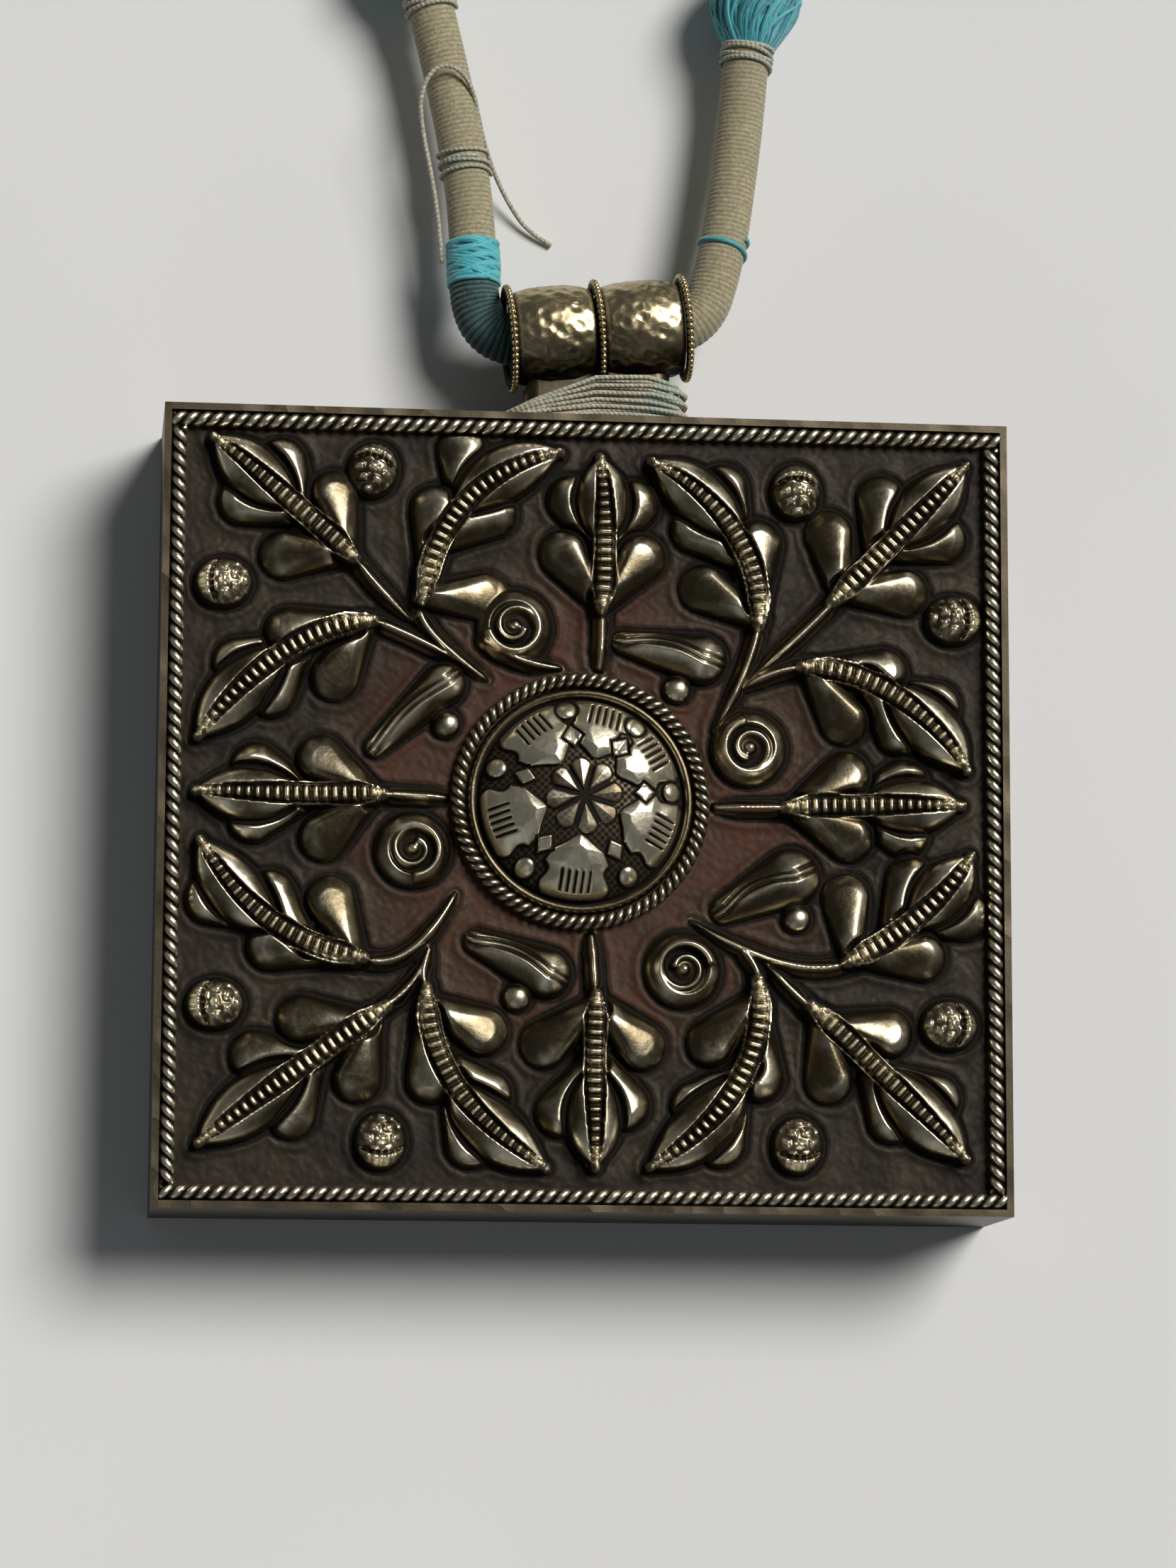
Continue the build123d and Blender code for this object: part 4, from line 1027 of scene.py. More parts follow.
@dataclass
class Relief:
    """The chased foliage: a height over the panel's ground at each point of a fine grid."""

    half_width: float = 41.75
    half_height: float = 39.25
    step: float = 0.14
    ground: float = 14.6
    foliage_reach: tuple[float, float] = (40.14, 37.64)
    boss_centre: tuple[float, float] = (-0.7, 0.8)
    boss_room: float = 13.1
    rib_widths: tuple[float, ...] = (0.7, 1.35, 1.3, 0.55)
    rib_rise: float = 2.75
    bar_pitch: float = 0.95
    blade_start: float = 0.42
    blade_belly: float = 2.9
    blade_rise: float = 2.45
    lobe_length: float = 8.7
    lobe_radius: float = 2.5
    lobe_rise: float = 2.55
    roof_slope: float = 0.27
    berry_half: tuple[float, float] = (2.95, 2.6)
    berry_rise: float = 2.7
    scroll_radius: float = 3.9
    scroll_rise: float = 1.9
    scroll_turns: float = 1.45
    bud_rise: float = 2.7
    bud_lobe: float = 1.5
    contour_away: float = 0.75
    contour_rise: float = 0.19
    x: Array = field(init=False)
    y: Array = field(init=False)
    height: Array = field(init=False)
    near: Array = field(init=False)
    hollow: Array = field(init=False)
    crest: Array = field(init=False)
    bare: Array = field(init=False)
    red: Array = field(init=False)

    def build(self, finishes: Finishes) -> None:
        """Works out the field and makes the face of four meshes, and the panel's underside of one.

        Args:
            finishes: the finishes to dress the pieces with.
        """
        self.x = np.linspace(-self.half_width, self.half_width, int(2 * self.half_width / self.step) + 1)
        self.y = np.linspace(-self.half_height, self.half_height, int(2 * self.half_height / self.step) + 1)
        self.height = np.zeros((len(self.y), len(self.x)))
        self.near = np.full(self.height.shape, 9.0)
        for spine in STEMS:
            self.stem(spine)
        for values in LEAVES:
            self.leaf(*values)
        for centre, heading in BERRIES:
            self.berry(centre, math.radians(heading))
        for centre, heading in SCROLLS:
            self.scroll(centre, math.radians(heading))
        for root, end, radius in BUDS:
            self.bud(root, end, radius)
        self.finish_field()
        self.make_pieces(finishes)

    def window(self, points: Any, margin: float) -> tuple[Region, Array, Array]:
        """The part of the grid round some points: its rows and columns, and the x and y there."""
        low, high = np.min(points, axis=0) - margin, np.max(points, axis=0) + margin
        columns = slice(*np.searchsorted(self.x, (low[0], high[0])))
        rows = slice(*np.searchsorted(self.y, (low[1], high[1])))
        x, y = np.meshgrid(self.x[columns], self.y[rows])
        return (rows, columns), x, y

    def stamp(self, region: Region, rise: Array, edge: Array, cut: float = 0.0) -> None:
        """Raises the field to a form: the higher stays, and the nearer edge is kept.

        Args:
            region: the window's rows and columns.
            rise: the form's height there.
            edge: distance to its edge, negative inside.
            cut: how deep a groove parts it from what it lies on, as a share of that height.
        """
        under = self.height[region]
        groove = 1.0 - cut * bell(np.maximum(edge, 0.0), 0.34)
        inside = np.maximum(rise, (1.0 - cut) * under)
        self.height[region] = np.where(edge < 0.0, inside, under * groove)
        self.near[region] = np.minimum(self.near[region], edge)

    def along(self, spine: Any, x: Array, y: Array) -> tuple[Array, Array, Array, Array]:
        """Nearest place on the parabola through three points, at the shares 0, a half and 1.

        Args:
            spine: the three points.
            x: points' x.
            y: points' y.

        Returns:
            Share along, distance run along, offset to the left, and distance.
        """
        line = parabola(spine, np.linspace(0.0, 1.0, 70)[:, None])
        run = np.concatenate([[0.0], np.cumsum(np.linalg.norm(np.diff(line, axis=0), axis=1))])
        heading = unit(np.gradient(line, axis=0))
        away = np.stack([x.ravel(), y.ravel()], axis=-1)[:, None, :] - line
        nearest = np.argmin((away**2).sum(-1), axis=1)
        away = away[np.arange(len(nearest)), nearest]
        turn = heading[nearest]
        ahead = (away * turn).sum(-1)
        left = turn[:, 0] * away[:, 1] - turn[:, 1] * away[:, 0]
        place = run[nearest] + ahead
        distance = np.linalg.norm(away, axis=1)
        return tuple(v.reshape(x.shape) for v in (place / run[-1], place, left, distance))

    def drop(
        self, root: Array, heading: float, length: float, radius: float, x: Array, y: Array
    ) -> tuple[Array, ...]:
        """A teardrop: the distance to two circles and the straight sides that touch both.

        Args:
            root: its narrow end.
            heading: the way that it points, in radians.
            length: from end to end.
            radius: of its round end.
            x: points' x.
            y: points' y.

        Returns:
            Distance to its edge (negative inside), share along, offset to the left, and its half width there.
        """
        ahead, left = seen_from(x, y, root, heading)
        small, run = 0.5 * radius, length - radius
        slope = (small - radius) / run
        level = math.sqrt(1 - slope * slope)
        key = level * ahead - slope * np.abs(left)
        edge = level * np.abs(left) + slope * ahead - small
        edge = np.where(key < 0, np.hypot(ahead, left) - small, edge)
        edge = np.where(key > level * run, np.hypot(ahead - run, left) - radius, edge)
        share = np.clip(ahead / run, 0.0, 1.0)
        return edge, share, left, small + (radius - small) * share

    def stem(self, spine: Any) -> None:
        """A ridge on a rounded back, slimmer and lower towards its end.

        Args:
            spine: its start, halfway point and end.
        """
        region, x, y = self.window(spine, 2.5)
        share, _, _, distance = self.along(spine, x, y)
        slim = np.interp(share, [0.0, 0.6, 0.95, 1.05], [1.0, 0.95, 0.45, 0.05])
        crest = np.clip(1.0 - distance / (0.45 * slim), 0.0, 1.0) ** 0.8
        flank = rounded(distance / (1.1 * slim), 1.0)
        self.stamp(region, 0.9 * slim * (crest + flank), distance - 1.05 * slim)

    def leaf(self, base: Any, middle: Any, tip: Any, left_lobes: Any, right_lobes: Any) -> None:
        """A leaf: lobes, two swelling blades to the tip, and over them a rib like a ladder.

        Args:
            base: the rib's foot.
            middle: its halfway point.
            tip: its end.
            left_lobes: share of the rib and angle to it in degrees, for each lobe on the left.
            right_lobes: the same on the right.
        """
        spine = np.array([base, middle, tip], float)
        legs = np.diff(spine, axis=0)
        region, x, y = self.window(spine, 8.0)
        share, run, left, distance = self.along(spine, x, y)
        for side, lobes in ((1.0, left_lobes), (-1.0, right_lobes)):
            for place, angle in reversed(lobes):
                root = parabola(spine, place)
                run_x, run_y = (np.interp(place, [0.25, 0.75], legs[:, axis]) for axis in (0, 1))
                heading = math.atan2(run_y, run_x) + side * math.radians(angle)
                edge, ahead, off, half = self.drop(root, heading, self.lobe_length, self.lobe_radius, x, y)
                plump = rounded(off / half, 0.32)
                cushion = np.clip(-edge / (0.6 * self.lobe_radius), 0.0, 1.0) ** 0.42
                roof = np.maximum(self.lobe_rise - self.roof_slope * (distance - 1.0), 0.9)
                rise = roof * (0.8 + 0.2 * ahead) * np.minimum(plump, cushion)
                self.stamp(region, rise, edge, cut=0.72)
        end = np.clip((share - self.blade_start) / (1.0 - self.blade_start), 0.0, 1.0)
        belly = self.blade_belly * (4.0 * end * (1.0 - end)) ** 0.8
        across = np.abs(left) / np.maximum(belly, 0.01)
        inside = (share > self.blade_start) & (share < 1.0) & (distance < 5.0)
        roof = np.maximum(self.blade_rise - self.roof_slope * (distance - 1.0), 0.7)
        swell = roof * np.clip(1.0 - across**3, 0.0, 1.0) ** 0.4
        edge = np.where(inside, np.abs(left) - belly, 9.0)
        self.stamp(region, swell * (0.7 + 0.3 * smooth(1.0 - end, 0.0, 0.3)), edge, cut=0.6)
        width = np.interp(share, [0.0, 0.12, 0.5, 1.0], self.rib_widths)
        across = distance / width
        rails = bell(across - 0.9, 0.12)
        bars = smooth(np.cos(TURN * run / self.bar_pitch), -0.55, 0.45) * smooth(0.62 - across, 0.0, 0.16)
        groove = bell(across - 0.7, 0.12)
        rise = self.rib_rise - 0.75 + 0.3 * rails + 0.85 * bars - 0.5 * groove
        rib = np.where(distance < width, rise * smooth(width - distance, 0.0, 0.14), 0.0)
        self.height[region][distance < 0.85 * width] = 0.0
        self.stamp(region, rib, distance - width)

    def berry(self, centre: Any, heading: float) -> None:
        """A nut in its cup: two domes parted by a groove, the nut crossed by two sets of slanting cuts.

        Args:
            centre: its middle.
            heading: the way that its cup lies, in radians.
        """
        region, x, y = self.window([centre], 4.5)
        ahead, across = seen_from(x, y, centre, heading)
        reach = np.hypot(ahead / self.berry_half[0], across / self.berry_half[1])
        dome = self.berry_rise * rounded(reach)
        bowed = (ahead + 0.12 * across**2) / 1.15
        rows_of_bars = smooth(np.cos(TURN * bowed), -0.7, 0.4)
        bars = smooth(np.cos(TURN * (across / 1.45 + 0.5 * np.round(bowed))), -0.8, 0.3)
        ticks = np.cos(TURN * across / 0.7)
        bend = ahead + 0.14 * across**2
        nut = bend < 1.0
        pattern = np.where(nut, 0.55 * np.minimum(rows_of_bars, bars) - 0.35, 0.12 * ticks)
        pattern += 0.3 * bell(bend - 1.75, 0.25) - 0.75 * bell(bend - 1.2, 0.26)
        rise = np.maximum(dome + pattern * smooth(1.0 - reach, 0.0, 0.3), 0.0)
        self.stamp(region, rise, (reach - 1.0) * 2.5)

    def scroll(self, centre: Any, heading: float) -> None:
        """A snail: a low dome with a ridge on it that spirals in, its radius falling evenly with its turn.

        Args:
            centre: its eye.
            heading: where the ridge's outer end is, in radians.
        """
        region, x, y = self.window([centre], 6.0)
        ahead, across = x - centre[0], y - centre[1]
        reach = np.hypot(ahead, across)
        turn = np.mod(np.arctan2(across, ahead) - heading, TURN) / TURN
        ridge = np.zeros(reach.shape)
        for lap in range(2):
            share = np.clip((turn + lap) / self.scroll_turns, 0.0, 1.0)
            line = 2.75 - 1.75 * share
            live = (turn + lap) < self.scroll_turns
            ridge = np.maximum(ridge, np.where(live, bell(reach - line, 0.42), 0.0))
        body = self.scroll_rise * rounded(reach / self.scroll_radius)
        dish = 0.9 * smooth(2.6 - reach, 0.0, 0.5)
        eye = 0.9 * bell(reach - 0.1, 0.55)
        rise = np.maximum(body - dish + 0.95 * ridge + eye, 0.0)
        self.stamp(region, rise, reach - self.scroll_radius)

    def bud(self, root: Any, end: Any, radius: float) -> None:
        """A plump bud: a teardrop with two cuts along its middle and a small round lobe beside it.

        Args:
            root: its pointed end.
            end: its round end.
            radius: of the round end.
        """
        start, stop = np.array(root, float), np.array(end, float)
        region, x, y = self.window([start, stop], 5.0)
        run = stop - start
        heading = math.atan2(run[1], run[0])
        edge, ahead, left, half = self.drop(start, heading, float(np.linalg.norm(run)) + 0.6, radius, x, y)
        plump = rounded(left / half)
        cushion = np.clip(-edge / (0.8 * radius), 0.0, 1.0) ** 0.5
        bend = left - 0.35 * radius * np.sin(math.pi * ahead)
        cuts = bell(bend - 0.3, 0.16) + bell(bend + 0.45, 0.16)
        rise = self.bud_rise * np.minimum(plump, cushion) * (0.6 + 0.4 * ahead)
        rise -= 0.45 * cuts * smooth(-edge, 0.0, 0.5)
        self.stamp(region, np.maximum(rise, 0.0), edge)
        spot = start + 0.62 * run + np.array([run[1], -run[0]]) / np.linalg.norm(run) * (radius + 0.9)
        reach = np.hypot(x - spot[0], y - spot[1])
        self.stamp(region, 1.3 * rounded(reach / self.bud_lobe), reach - self.bud_lobe)

    def finish_field(self) -> None:
        """Adds the contour lines and the matted ground, and clears the boss's seat and the borders.

        The contour is a low bell a little outside every edge; the ground sinks next to the forms.
        """
        random = np.random.default_rng(3)
        x, y = np.meshgrid(self.x, self.y)
        outside = np.maximum(self.near, 0.0)
        ground = self.contour_rise * bell(outside - self.contour_away, 0.4) - 0.1 * bell(outside, 0.3)
        ground += 0.07 * blurred(random.normal(0, 1.2, x.shape), 1)
        ground += 0.06 * blurred(random.normal(0, 9.0, x.shape), 7)
        self.height = np.where(self.near < 0.0, np.maximum(self.height, 0.0), ground)
        from_boss = np.hypot(x - self.boss_centre[0], y - self.boss_centre[1])
        clear = smooth(from_boss, self.boss_room, self.boss_room + 0.4)
        for reach, off in zip(self.foliage_reach, (x, y)):
            clear *= smooth(reach - np.abs(off), -0.1, 0.3)
        self.height = np.clip(self.height, -0.3, 3.0) * clear
        height = self.height.copy()
        height[1:-1, 1:-1] = 0.5 * height[1:-1, 1:-1] + 0.125 * (
            height[:-2, 1:-1] + height[2:, 1:-1] + height[1:-1, :-2] + height[1:-1, 2:]
        )
        self.height = height
        rise = height - blurred(height, 5)
        wide = height - blurred(height, 14)
        # hollow: dark patina in the hollows, plus painted shade in the cavities and a wide dark halo round
        # the forms
        self.hollow = np.clip(-rise / 0.34, 0, 1) * 0.9 + np.clip(-wide / 1.4, 0, 1) * 0.35
        self.crest = np.clip(rise / 0.4, 0, 1) * 0.5 + np.clip(wide / 1.2, 0, 1) * 0.5
        self.bare = smooth(self.near, -0.1, 0.5)
        self.red = self.bare * smooth(29.0 - np.hypot(x, y), 0.0, 12.0)

    def make_pieces(self, finishes: Finishes) -> None:
        """Cuts the field into four meshes with common edges and common normals, and adds the underside.

        Args:
            finishes: the finishes to dress the pieces with.
        """
        x, y = np.meshgrid(self.x, self.y)
        points = np.stack([x, y, self.ground + self.height], axis=-1)
        slope_y, slope_x = np.gradient(self.height, self.y, self.x)
        normals = unit(np.stack([-slope_x, -slope_y, np.ones(x.shape)], axis=-1))
        middle_row, middle_column = len(self.y) // 2, len(self.x) // 2
        parts = {
            "upper_left": (slice(middle_row, None), slice(0, middle_column + 1)),
            "upper_right": (slice(middle_row, None), slice(middle_column, None)),
            "lower_left": (slice(0, middle_row + 1), slice(0, middle_column + 1)),
            "lower_right": (slice(0, middle_row + 1), slice(middle_column, None)),
        }
        shades = {"hollow": self.hollow, "crest": self.crest, "ground": self.bare, "red": self.red}
        for name, cut in parts.items():
            block = points[cut]
            faces = lattice(*block.shape[:2])[:, ::-1]
            values = {key: value[cut].ravel() for key, value in shades.items()}
            surface = Surface(block.reshape(-1, 3), faces, values=values)
            surface.normals = normals[cut].reshape(-1, 3)
            nodes = ("front_panel",) if name == "upper_left" else ()
            piece(f"foliage_{name}", surface, Body.FRONT, finishes.chased, nodes)
        coarse = points[::6, ::6].copy()
        coarse[..., 2] = self.ground - 0.75 + 0.8 * np.clip(blurred(self.height, 3)[::6, ::6], 0.0, 3.0)
        under = Surface(coarse.reshape(-1, 3), lattice(*coarse.shape[:2])).with_value("hollow", 0.25)
        piece("foliage_underside", under, Body.FRONT, finishes.case)


@dataclass
class Boss:
    """The domed flower boss, worked out on a polar grid, and the twisted ring round it."""

    centre: tuple[float, float] = (-0.7, 0.8)
    base: float = 14.6
    radius: float = 10.3
    rise: float = 4.15
    bezel: float = 1.1
    petals: tuple[float, ...] = (75, 33, -23, -95, -163, 126)
    wire_radius: float = 0.75
    wire_turns: int = 39

    def build(self, finishes: Finishes) -> None:
        """Builds the boss: a dome plus petals, with cuts between them, and a plain bezel at its foot.

        Args:
            finishes: the finishes to dress the pieces with.
        """
        outer = self.radius + np.linspace(0.08, self.bezel, 16)
        reach = np.concatenate([np.linspace(0.02, self.radius, 110), outer])
        turn = TURN * np.arange(480) / 480
        r, a = np.meshgrid(reach, turn, indexing="ij")
        relief, hollow, crest = self.flower(r, a)
        dome = self.rise * rounded(r / self.radius, 0.72)
        foot = np.clip((r - self.radius) / self.bezel, 0.0, 1.0)
        edging = 0.9 * rounded(2.0 * foot - 1.0, 0.4)
        face = dome + 0.15 + relief * smooth(self.radius - r, 0.1, 0.8)
        outside, past = r > self.radius, r - self.radius
        z = self.base + np.where(outside, edging, face)
        x, y = self.centre[0] + r * np.cos(a), self.centre[1] + r * np.sin(a)
        points = np.stack([x, y, z], axis=-1).reshape(-1, 3)
        # painted shade, with patina, in the crease at the dome's foot and onto the bezel
        hollow = np.where(outside, 0.9 * bell(past, 0.3), np.maximum(hollow, bell(past, 0.35))).ravel()
        crest = np.where(outside, 0.1 * edging, crest).ravel()
        faces = lattice(*r.shape, wrap_columns=True)
        top = fan(len(points), np.arange(len(turn)))
        points = np.concatenate([points, [[*self.centre, points[0, 2]]]])
        values = {"hollow": np.append(hollow, 0.0), "crest": np.append(crest, 0.6)}
        boss = Surface(points, faces, top, values)
        piece("flower_boss", boss, Body.FRONT, finishes.boss, ("rosette_boss",))
        circle = TURN * np.arange(1001) / 1000
        middle, half = solid_box("boss_ring_wire")
        ring = half[0] - self.wire_radius
        path = middle + ring * np.stack([np.cos(circle), np.sin(circle), np.zeros(1001)], axis=1)
        surface = twisted(path, self.wire_radius, TURN * ring / self.wire_turns)
        piece("boss_twisted_ring", surface, Body.FRONT, finishes.ring, ("boss_ring_wire",))

    def flower(self, r: Array, a: Array) -> tuple[Array, Array, Array]:
        """The flower's height over the dome, and how hollow and how worn each point is.

        Eight wedges make the middle, each tilted across like a vane; six petals with scalloped edges stand
        round them, cut by short ticks at the rim; a ball and a diamond sit in each punched gap.

        Args:
            r: distance from the middle.
            a: angle round it.

        Returns:
            Height, hollow (patina and painted shade) and crest.
        """
        x, y = r * np.cos(a), r * np.sin(a)
        wedge = np.mod(a / TURN * 8 + 0.35, 1.0)
        side = r * np.minimum(wedge, 1.0 - wedge) * TURN / 8
        rim = 4.0 - 0.9 * np.abs(2 * wedge - 1.0) ** 2
        middle = smooth(rim - r, 0.0, 0.3)
        vane = np.where(wedge < 0.5, 2.0 * wedge, 1.35 - 0.7 * wedge)
        relief = middle * (0.1 + 0.3 * vane * np.minimum(r, 3.0) / 3.0) - 0.35 * middle * bell(side, 0.2)
        # dark lines between the wedges, and painted shade on the falling half of each vane
        hollow = middle * (1.15 * bell(side, 0.24) + 0.35 * (wedge > 0.5))
        solid = 0.75 * middle
        for heading in self.petals:
            off = np.mod(a - math.radians(heading) + math.pi, TURN) - math.pi
            across = r * np.sin(np.clip(off, -1.5, 1.5))
            ahead = r * np.cos(off)
            half = 3.3 * np.clip((ahead - 3.9) / 2.6, 0.0, 1.0) ** 0.5 + 0.35 * np.sin((ahead - 5.2) * 2.2)
            edge = np.where((ahead > 3.9) & (np.abs(off) < 1.2), half - np.abs(across), -1.0)
            edge = np.minimum(edge, r * np.sin(np.clip(math.radians(27.0) - np.abs(off), -1.5, 1.5)))
            petal = smooth(edge, 0.0, 0.3) * smooth(10.2 - r, 0.0, 0.3)
            ticks = bell(np.mod(across + 0.35, 0.7) - 0.35, 0.13) * (np.abs(across) < 1.8)
            ticks = ticks * smooth(r, 7.2, 7.6) * smooth(9.6 - r, 0.0, 0.2)
            cushion = np.clip(edge / 1.9, 0.0, 1.0) ** 0.55
            relief = np.maximum(relief, petal * (0.15 + 0.95 * cushion) - 0.45 * petal * ticks)
            # dark ticks in the cuts, and a dark outline as painted shade in the crease at each petal's edge
            hollow = np.maximum(hollow, np.maximum(petal * ticks, bell(edge, 0.2)))
            solid = np.maximum(solid, petal)
        gaps = np.sort(np.array(self.petals, float))
        gaps = (gaps + np.append(gaps[1:], gaps[0] + 360.0)) / 2
        for heading in np.radians(gaps):
            away = np.hypot(x - 9.0 * math.cos(heading), y - 9.0 * math.sin(heading))
            ahead, across = seen_from(x, y, (0.0, 0.0), heading)
            slanted = np.abs(ahead - 6.1) / 1.3 + np.abs(across) / 1.05
            ball = rounded(away / 1.05), 0.9, bell(away - 1.1, 0.17)
            diamond = smooth(1.0 - slanted, 0.0, 0.35), 0.55, bell(slanted - 1.05, 0.17)
            for form, rise, line in (ball, diamond):
                relief = np.maximum(relief * (1.0 - 0.6 * line), rise * form)
                # a dark ring as painted shade in the crease round each ball and diamond
                hollow = np.maximum(hollow * (1.0 - smooth(form, 0.2, 0.5)), line)
                solid = np.maximum(solid, smooth(form, 0.2, 0.6))
        stipple = smooth(np.cos(TURN * x / 0.75) * np.cos(TURN * y / 0.75), -0.1, 0.4)
        hollow = np.clip(np.maximum(hollow, (0.5 + 0.5 * stipple) * (1.0 - solid)), 0.0, 1.0)
        return relief, hollow, np.clip(0.8 * solid - hollow, 0.0, 1.0)


def twisted(path: Array, radius: float, pitch: float) -> Surface:
    """Two strands twisted together: each keeps half the radius off the path, turning once in a pitch.

    Args:
        path: the middle of the wire.
        radius: of the whole wire.
        pitch: the length of one turn.

    Returns:
        The surface, worn where it is furthest from the middle, and painted darker, as shade with patina,
        between the strands.
    """
    _, side, top = axes_along(path, UP)
    strands = []
    for start in (0.0, math.pi):
        angle = (TURN * lengths_along(path) / pitch + start)[:, None]
        middle = path + 0.47 * radius * (np.cos(angle) * side + np.sin(angle) * top)
        strand = tube(middle, 0.53 * radius, 8)
        index = np.append(np.repeat(np.arange(len(path)), 8), [0, len(path) - 1])
        out = np.linalg.norm(strand.points - path[index], axis=1) / radius
        # darker towards the wire's middle, between the strands: patina with painted shade in the crevices
        strand.with_value("crest", smooth(out, 0.75, 1.0)).with_value("hollow", 1.0 - smooth(out, 0.6, 0.92))
        strands.append(strand)
    return merged(strands)


@dataclass
class BorderRopes:
    """The twisted wires round the face."""

    radius: float = 0.8
    pitch: float = 2.5

    def build(self, finishes: Finishes) -> None:
        """Lays a twisted wire in the place of each border solid.

        Args:
            finishes: the finishes to dress the pieces with.
        """
        for side in ("top", "right", "bottom", "left"):
            middle, half = solid_box(f"border_wire_{side}")
            axis = 0 if side in ("top", "bottom") else 1
            ends = np.stack([middle, middle])
            ends[:, axis] += np.array([-1.0, 1.0]) * half[axis]
            surface = twisted(even_path(ends, 0.17), self.radius, self.pitch)
            piece(f"rope_{side}", surface, Body.FRONT, finishes.wire, (f"border_wire_{side}",))


@dataclass
class Bail:
    """The tube that the cord runs through: two hammered barrels and three beaded rings."""

    middle: tuple[float, float, float] = (1.4, 50.1, 9.0)
    lean: float = math.radians(5.5)
    end_radius: float = 4.5
    belly: float = 0.66
    bore_radius: float = 4.02
    ring_reach: float = 4.95
    ring_wire: float = 0.4
    bead_radius: float = 0.36
    bead_count: int = 50

    def turned(self, along: Any, reach: Any, angle: Array) -> Array:
        """Points by their distance along the bail's axis, from it, and angle round it."""
        axis = np.array([math.cos(self.lean), math.sin(self.lean), 0.0])
        across = np.array([-math.sin(self.lean), math.cos(self.lean), 0.0])
        out = np.cos(angle)[..., None] * across + np.sin(angle)[..., None] * np.array(UP)
        along, reach = np.asarray(along)[..., None], np.asarray(reach)[..., None]
        return np.array(self.middle) + along * axis + reach * out

    def build(self, finishes: Finishes) -> None:
        """Builds the barrels and the rings.

        A barrel's radius swells along it like a flattened parabola with hammer facets; its bore is plain. Its
        colour carries a painted highlight on the lit side and painted shade at its ends, on the far side and
        in the bore.

        Args:
            finishes: the finishes to dress the pieces with.
        """
        for side, start, end in (("left", -8.6, -0.35), ("right", 0.35, 8.6)):
            along = np.concatenate([np.linspace(start, end, 40), np.linspace(end, start, 8)])
            share = (along[:40] - start) / (end - start)
            turn = TURN * np.arange(96) / 96
            s, t = np.meshgrid(share, turn, indexing="ij")
            facets = 0.05 * np.sin(9 * t + 5 * s) * np.sin(14 * s + 2 * np.sin(5 * t))
            facets += 0.04 * np.sin(17 * t - 21 * s)
            outer = self.end_radius + self.belly * rounded(2.0 * s - 1.0, 0.8)
            outer += facets * smooth(s * (1 - s), 0.0, 0.1)
            reach = np.concatenate([outer, np.full((8, 96), self.bore_radius)])
            d, angle = np.meshgrid(along, turn, indexing="ij")
            points = self.turned(d, reach, angle).reshape(-1, 3)
            surface = Surface(points, lattice(48, 96, wrap_rows=True, wrap_columns=True)[:, ::-1])
            # painted highlight: paler on the barrel's lit side, following the angle round it
            worn_and_lit = np.concatenate([0.2 + 0.5 * np.cos(t - 1.1), np.zeros((8, 96))]).ravel()
            # painted shade: darker next to the rings, on the side away from the light, and all over the bore
            dark = 0.75 * (bell(s, 0.08) + bell(s - 1, 0.08) + smooth(-np.cos(t - 0.75), 0.0, 0.7))
            dark = np.concatenate([dark, np.ones((8, 96))]).ravel()
            surface.with_value("crest", np.clip(worn_and_lit, 0, 1)).with_value("hollow", np.clip(dark, 0, 1))
            nodes = (f"bail_barrel_{side}",)
            piece(f"barrel_{side}", surface, Body.FRONT, finishes.bail, nodes)
        for name, place in (("left", -8.95), ("middle", 0.0), ("right", 8.95)):
            self.build_ring(name, place, finishes)

    def build_ring(self, name: str, place: float, finishes: Finishes) -> None:
        """Builds a ring: a plain wire and a row of small balls round it, each of a few dozen faces.

        Args:
            name: which ring.
            place: its distance along the bail's axis.
            finishes: the finishes to dress the pieces with.
        """
        circle = TURN * np.arange(121) / 120
        axis = (math.cos(self.lean), math.sin(self.lean), 0.0)
        wire = tube(self.turned(place, self.ring_reach, circle), self.ring_wire, 8, axis)
        # painted shade: the plain wire under and between the beads is kept dark
        wire.with_value("hollow", 0.8)
        around, over = np.meshgrid(TURN * np.arange(8) / 8, math.pi * (np.arange(5) + 0.5) / 5, indexing="ij")
        ball = np.stack([np.sin(over) * np.cos(around), np.sin(over) * np.sin(around), np.cos(over)], axis=-1)
        count = np.arange(self.bead_count)
        seats = self.turned(place, self.ring_reach + 0.3, TURN * count / self.bead_count)
        points = (seats[:, None, :] + self.bead_radius * ball.reshape(-1, 3)).reshape(-1, 3)
        starts = 8 * 5 * count[:, None, None]
        quads = (lattice(8, 5, wrap_rows=True)[:, ::-1] + starts).reshape(-1, 4)
        caps = np.stack([np.array([0, k, k + 1]) * 5 for k in range(1, 7)])
        triangles = (np.concatenate([caps, caps[:, ::-1] + 4]) + starts).reshape(-1, 3)
        beads = Surface(points, quads, triangles).with_value("crest", 0.8)
        ring = merged([wire, beads])
        piece(f"beads_{name}", ring, Body.FRONT, finishes.bead, (f"bail_ring_{name}",))


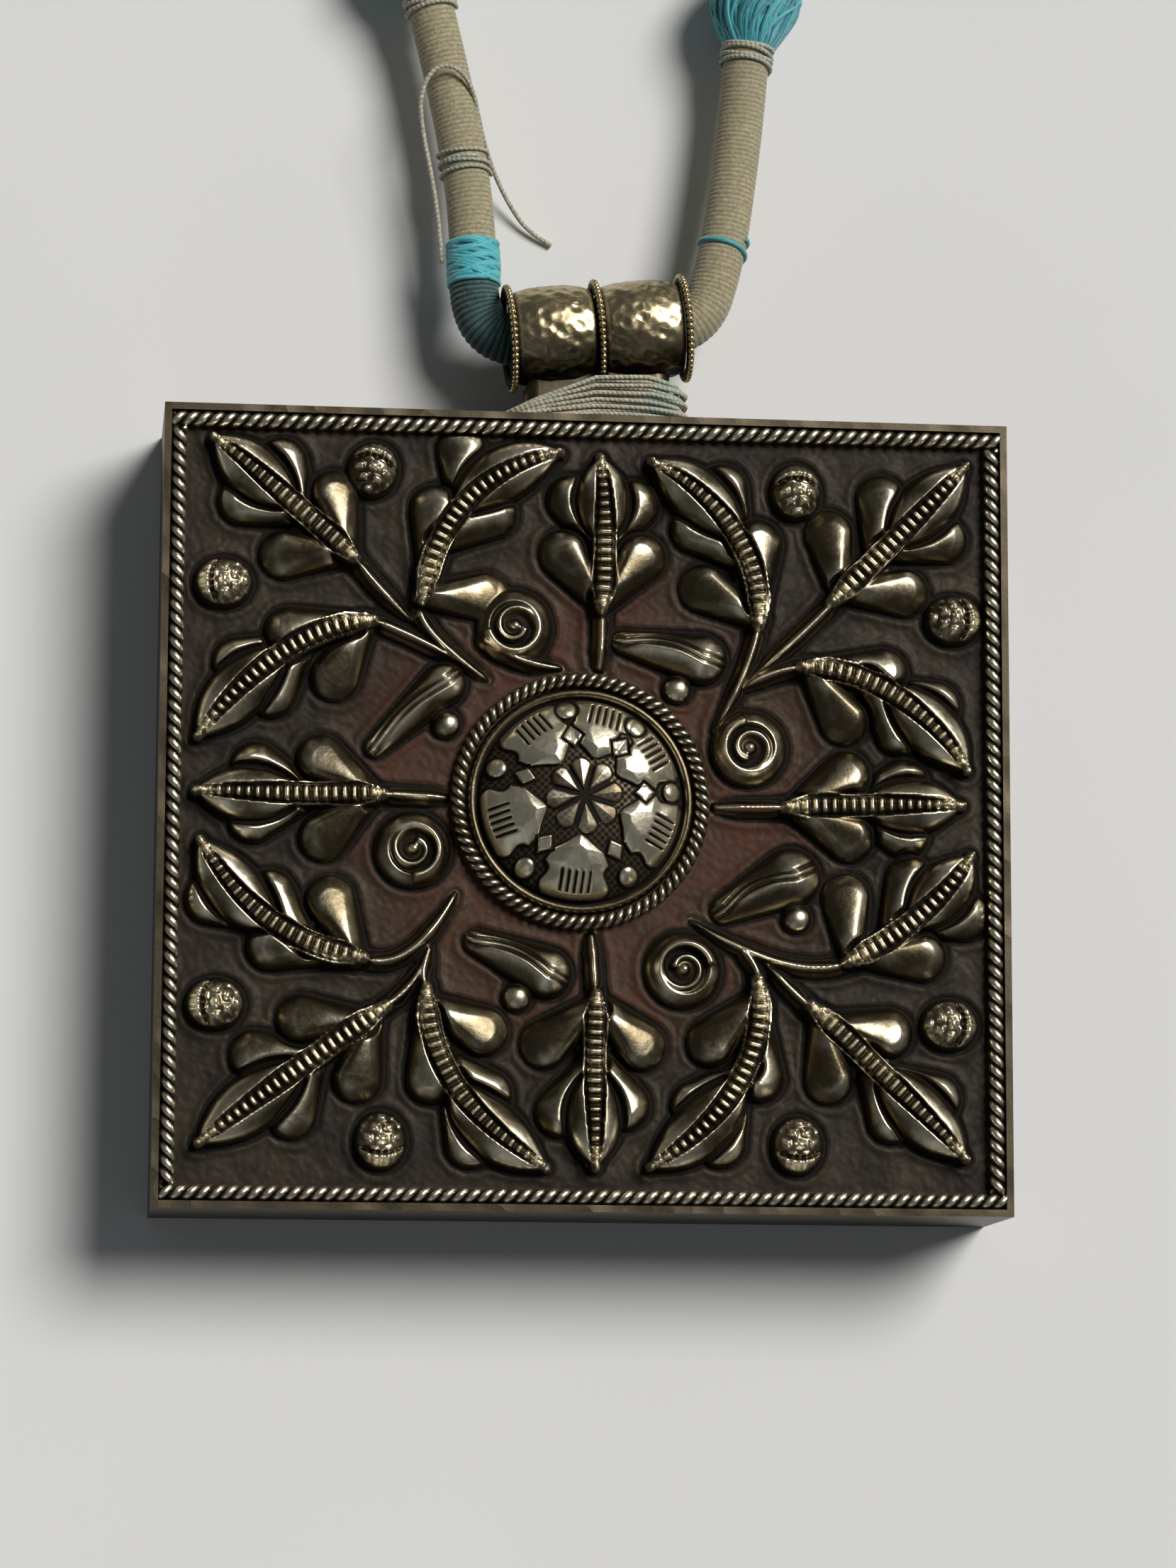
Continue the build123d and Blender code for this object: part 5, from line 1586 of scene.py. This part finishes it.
@dataclass
class Prayers:
    """The folded prayers in the tray and the ribbon that ties them."""

    squareness: float = 0.22
    ribbon_inset: float = 0.27

    def build(self, finishes: Finishes) -> None:
        """Builds the packet, a squared-off loop carried along it, and the ribbon's two loops.

        Args:
            finishes: the finishes to dress the pieces with.
        """
        middle, half = solid_box("prayer_packet")
        rows, sides = 60, 64
        share = np.linspace(-1.0, 1.0, rows)
        ends = np.clip(1.0 - np.abs(share) ** 24, 0.0, 1.0) ** 0.4
        wide, tall = squared(TURN * np.arange(sides) / sides, self.squareness, self.squareness)
        layers = 1.0 - 0.006 * (1 + np.cos(26 * tall)) * np.abs(wide) ** 8
        x = middle[0] + half[0] * wide * layers * (0.985 + 0.015 * ends[:, None])
        y = middle[1] + half[1] * np.broadcast_to(share[:, None], x.shape)
        z = middle[2] + half[2] * tall * (0.9 + 0.1 * ends[:, None] * np.cos(1.5 * share[:, None]))
        points = np.stack([x, y, z], axis=-1).reshape(-1, 3)
        first, last = np.arange(sides), np.arange(sides) + (rows - 1) * sides
        caps = np.concatenate([fan(len(points), first)[:, ::-1], fan(len(points) + 1, last)])
        tips = middle + half * np.array([[0.0, -1.0, 0.0], [0.0, 1.0, 0.0]])
        faces = lattice(rows, sides, wrap_columns=True)[:, ::-1]
        packet = Surface(np.concatenate([points, tips]), faces, caps)
        packet.with_value("along", packet.points[:, 2] * 2.0).with_value("around", 0.0)
        piece("folded_prayers", packet, Body.BACK, finishes.paper, ("prayer_packet",))
        centre, half = solid_box("packet_ribbon")
        reach = half - self.ribbon_inset
        wide, tall = squared(TURN * np.arange(81) / 80, self.squareness, self.squareness)
        bands = []
        for axis in (0, 1):
            path = np.tile(centre, (81, 1))
            path[:, axis] += reach[axis] * wide
            path[:, 2] += reach[2] * tall
            across = (0.0, 1.0, 0.0) if axis == 0 else (1.0, 0.0, 0.0)
            bands.append(tube(path, 0.25, 8, across, capped=False, flat=5.6))
        piece("prayer_tie", merged(bands), Body.BACK, finishes.ribbon, ("packet_ribbon",))


def main() -> None:
    """Builds the scene piece by piece."""
    logging.basicConfig(level=logging.INFO, format="%(message)s")
    Studio().build()
    finishes = Finishes()
    NeckCord().build(finishes)
    Threads().build(finishes)
    Case().dress(finishes)
    Relief().build(finishes)
    Boss().build(finishes)
    BorderRopes().build(finishes)
    Bail().build(finishes)
    Prayers().build(finishes)


if __name__ == "__main__":
    main()
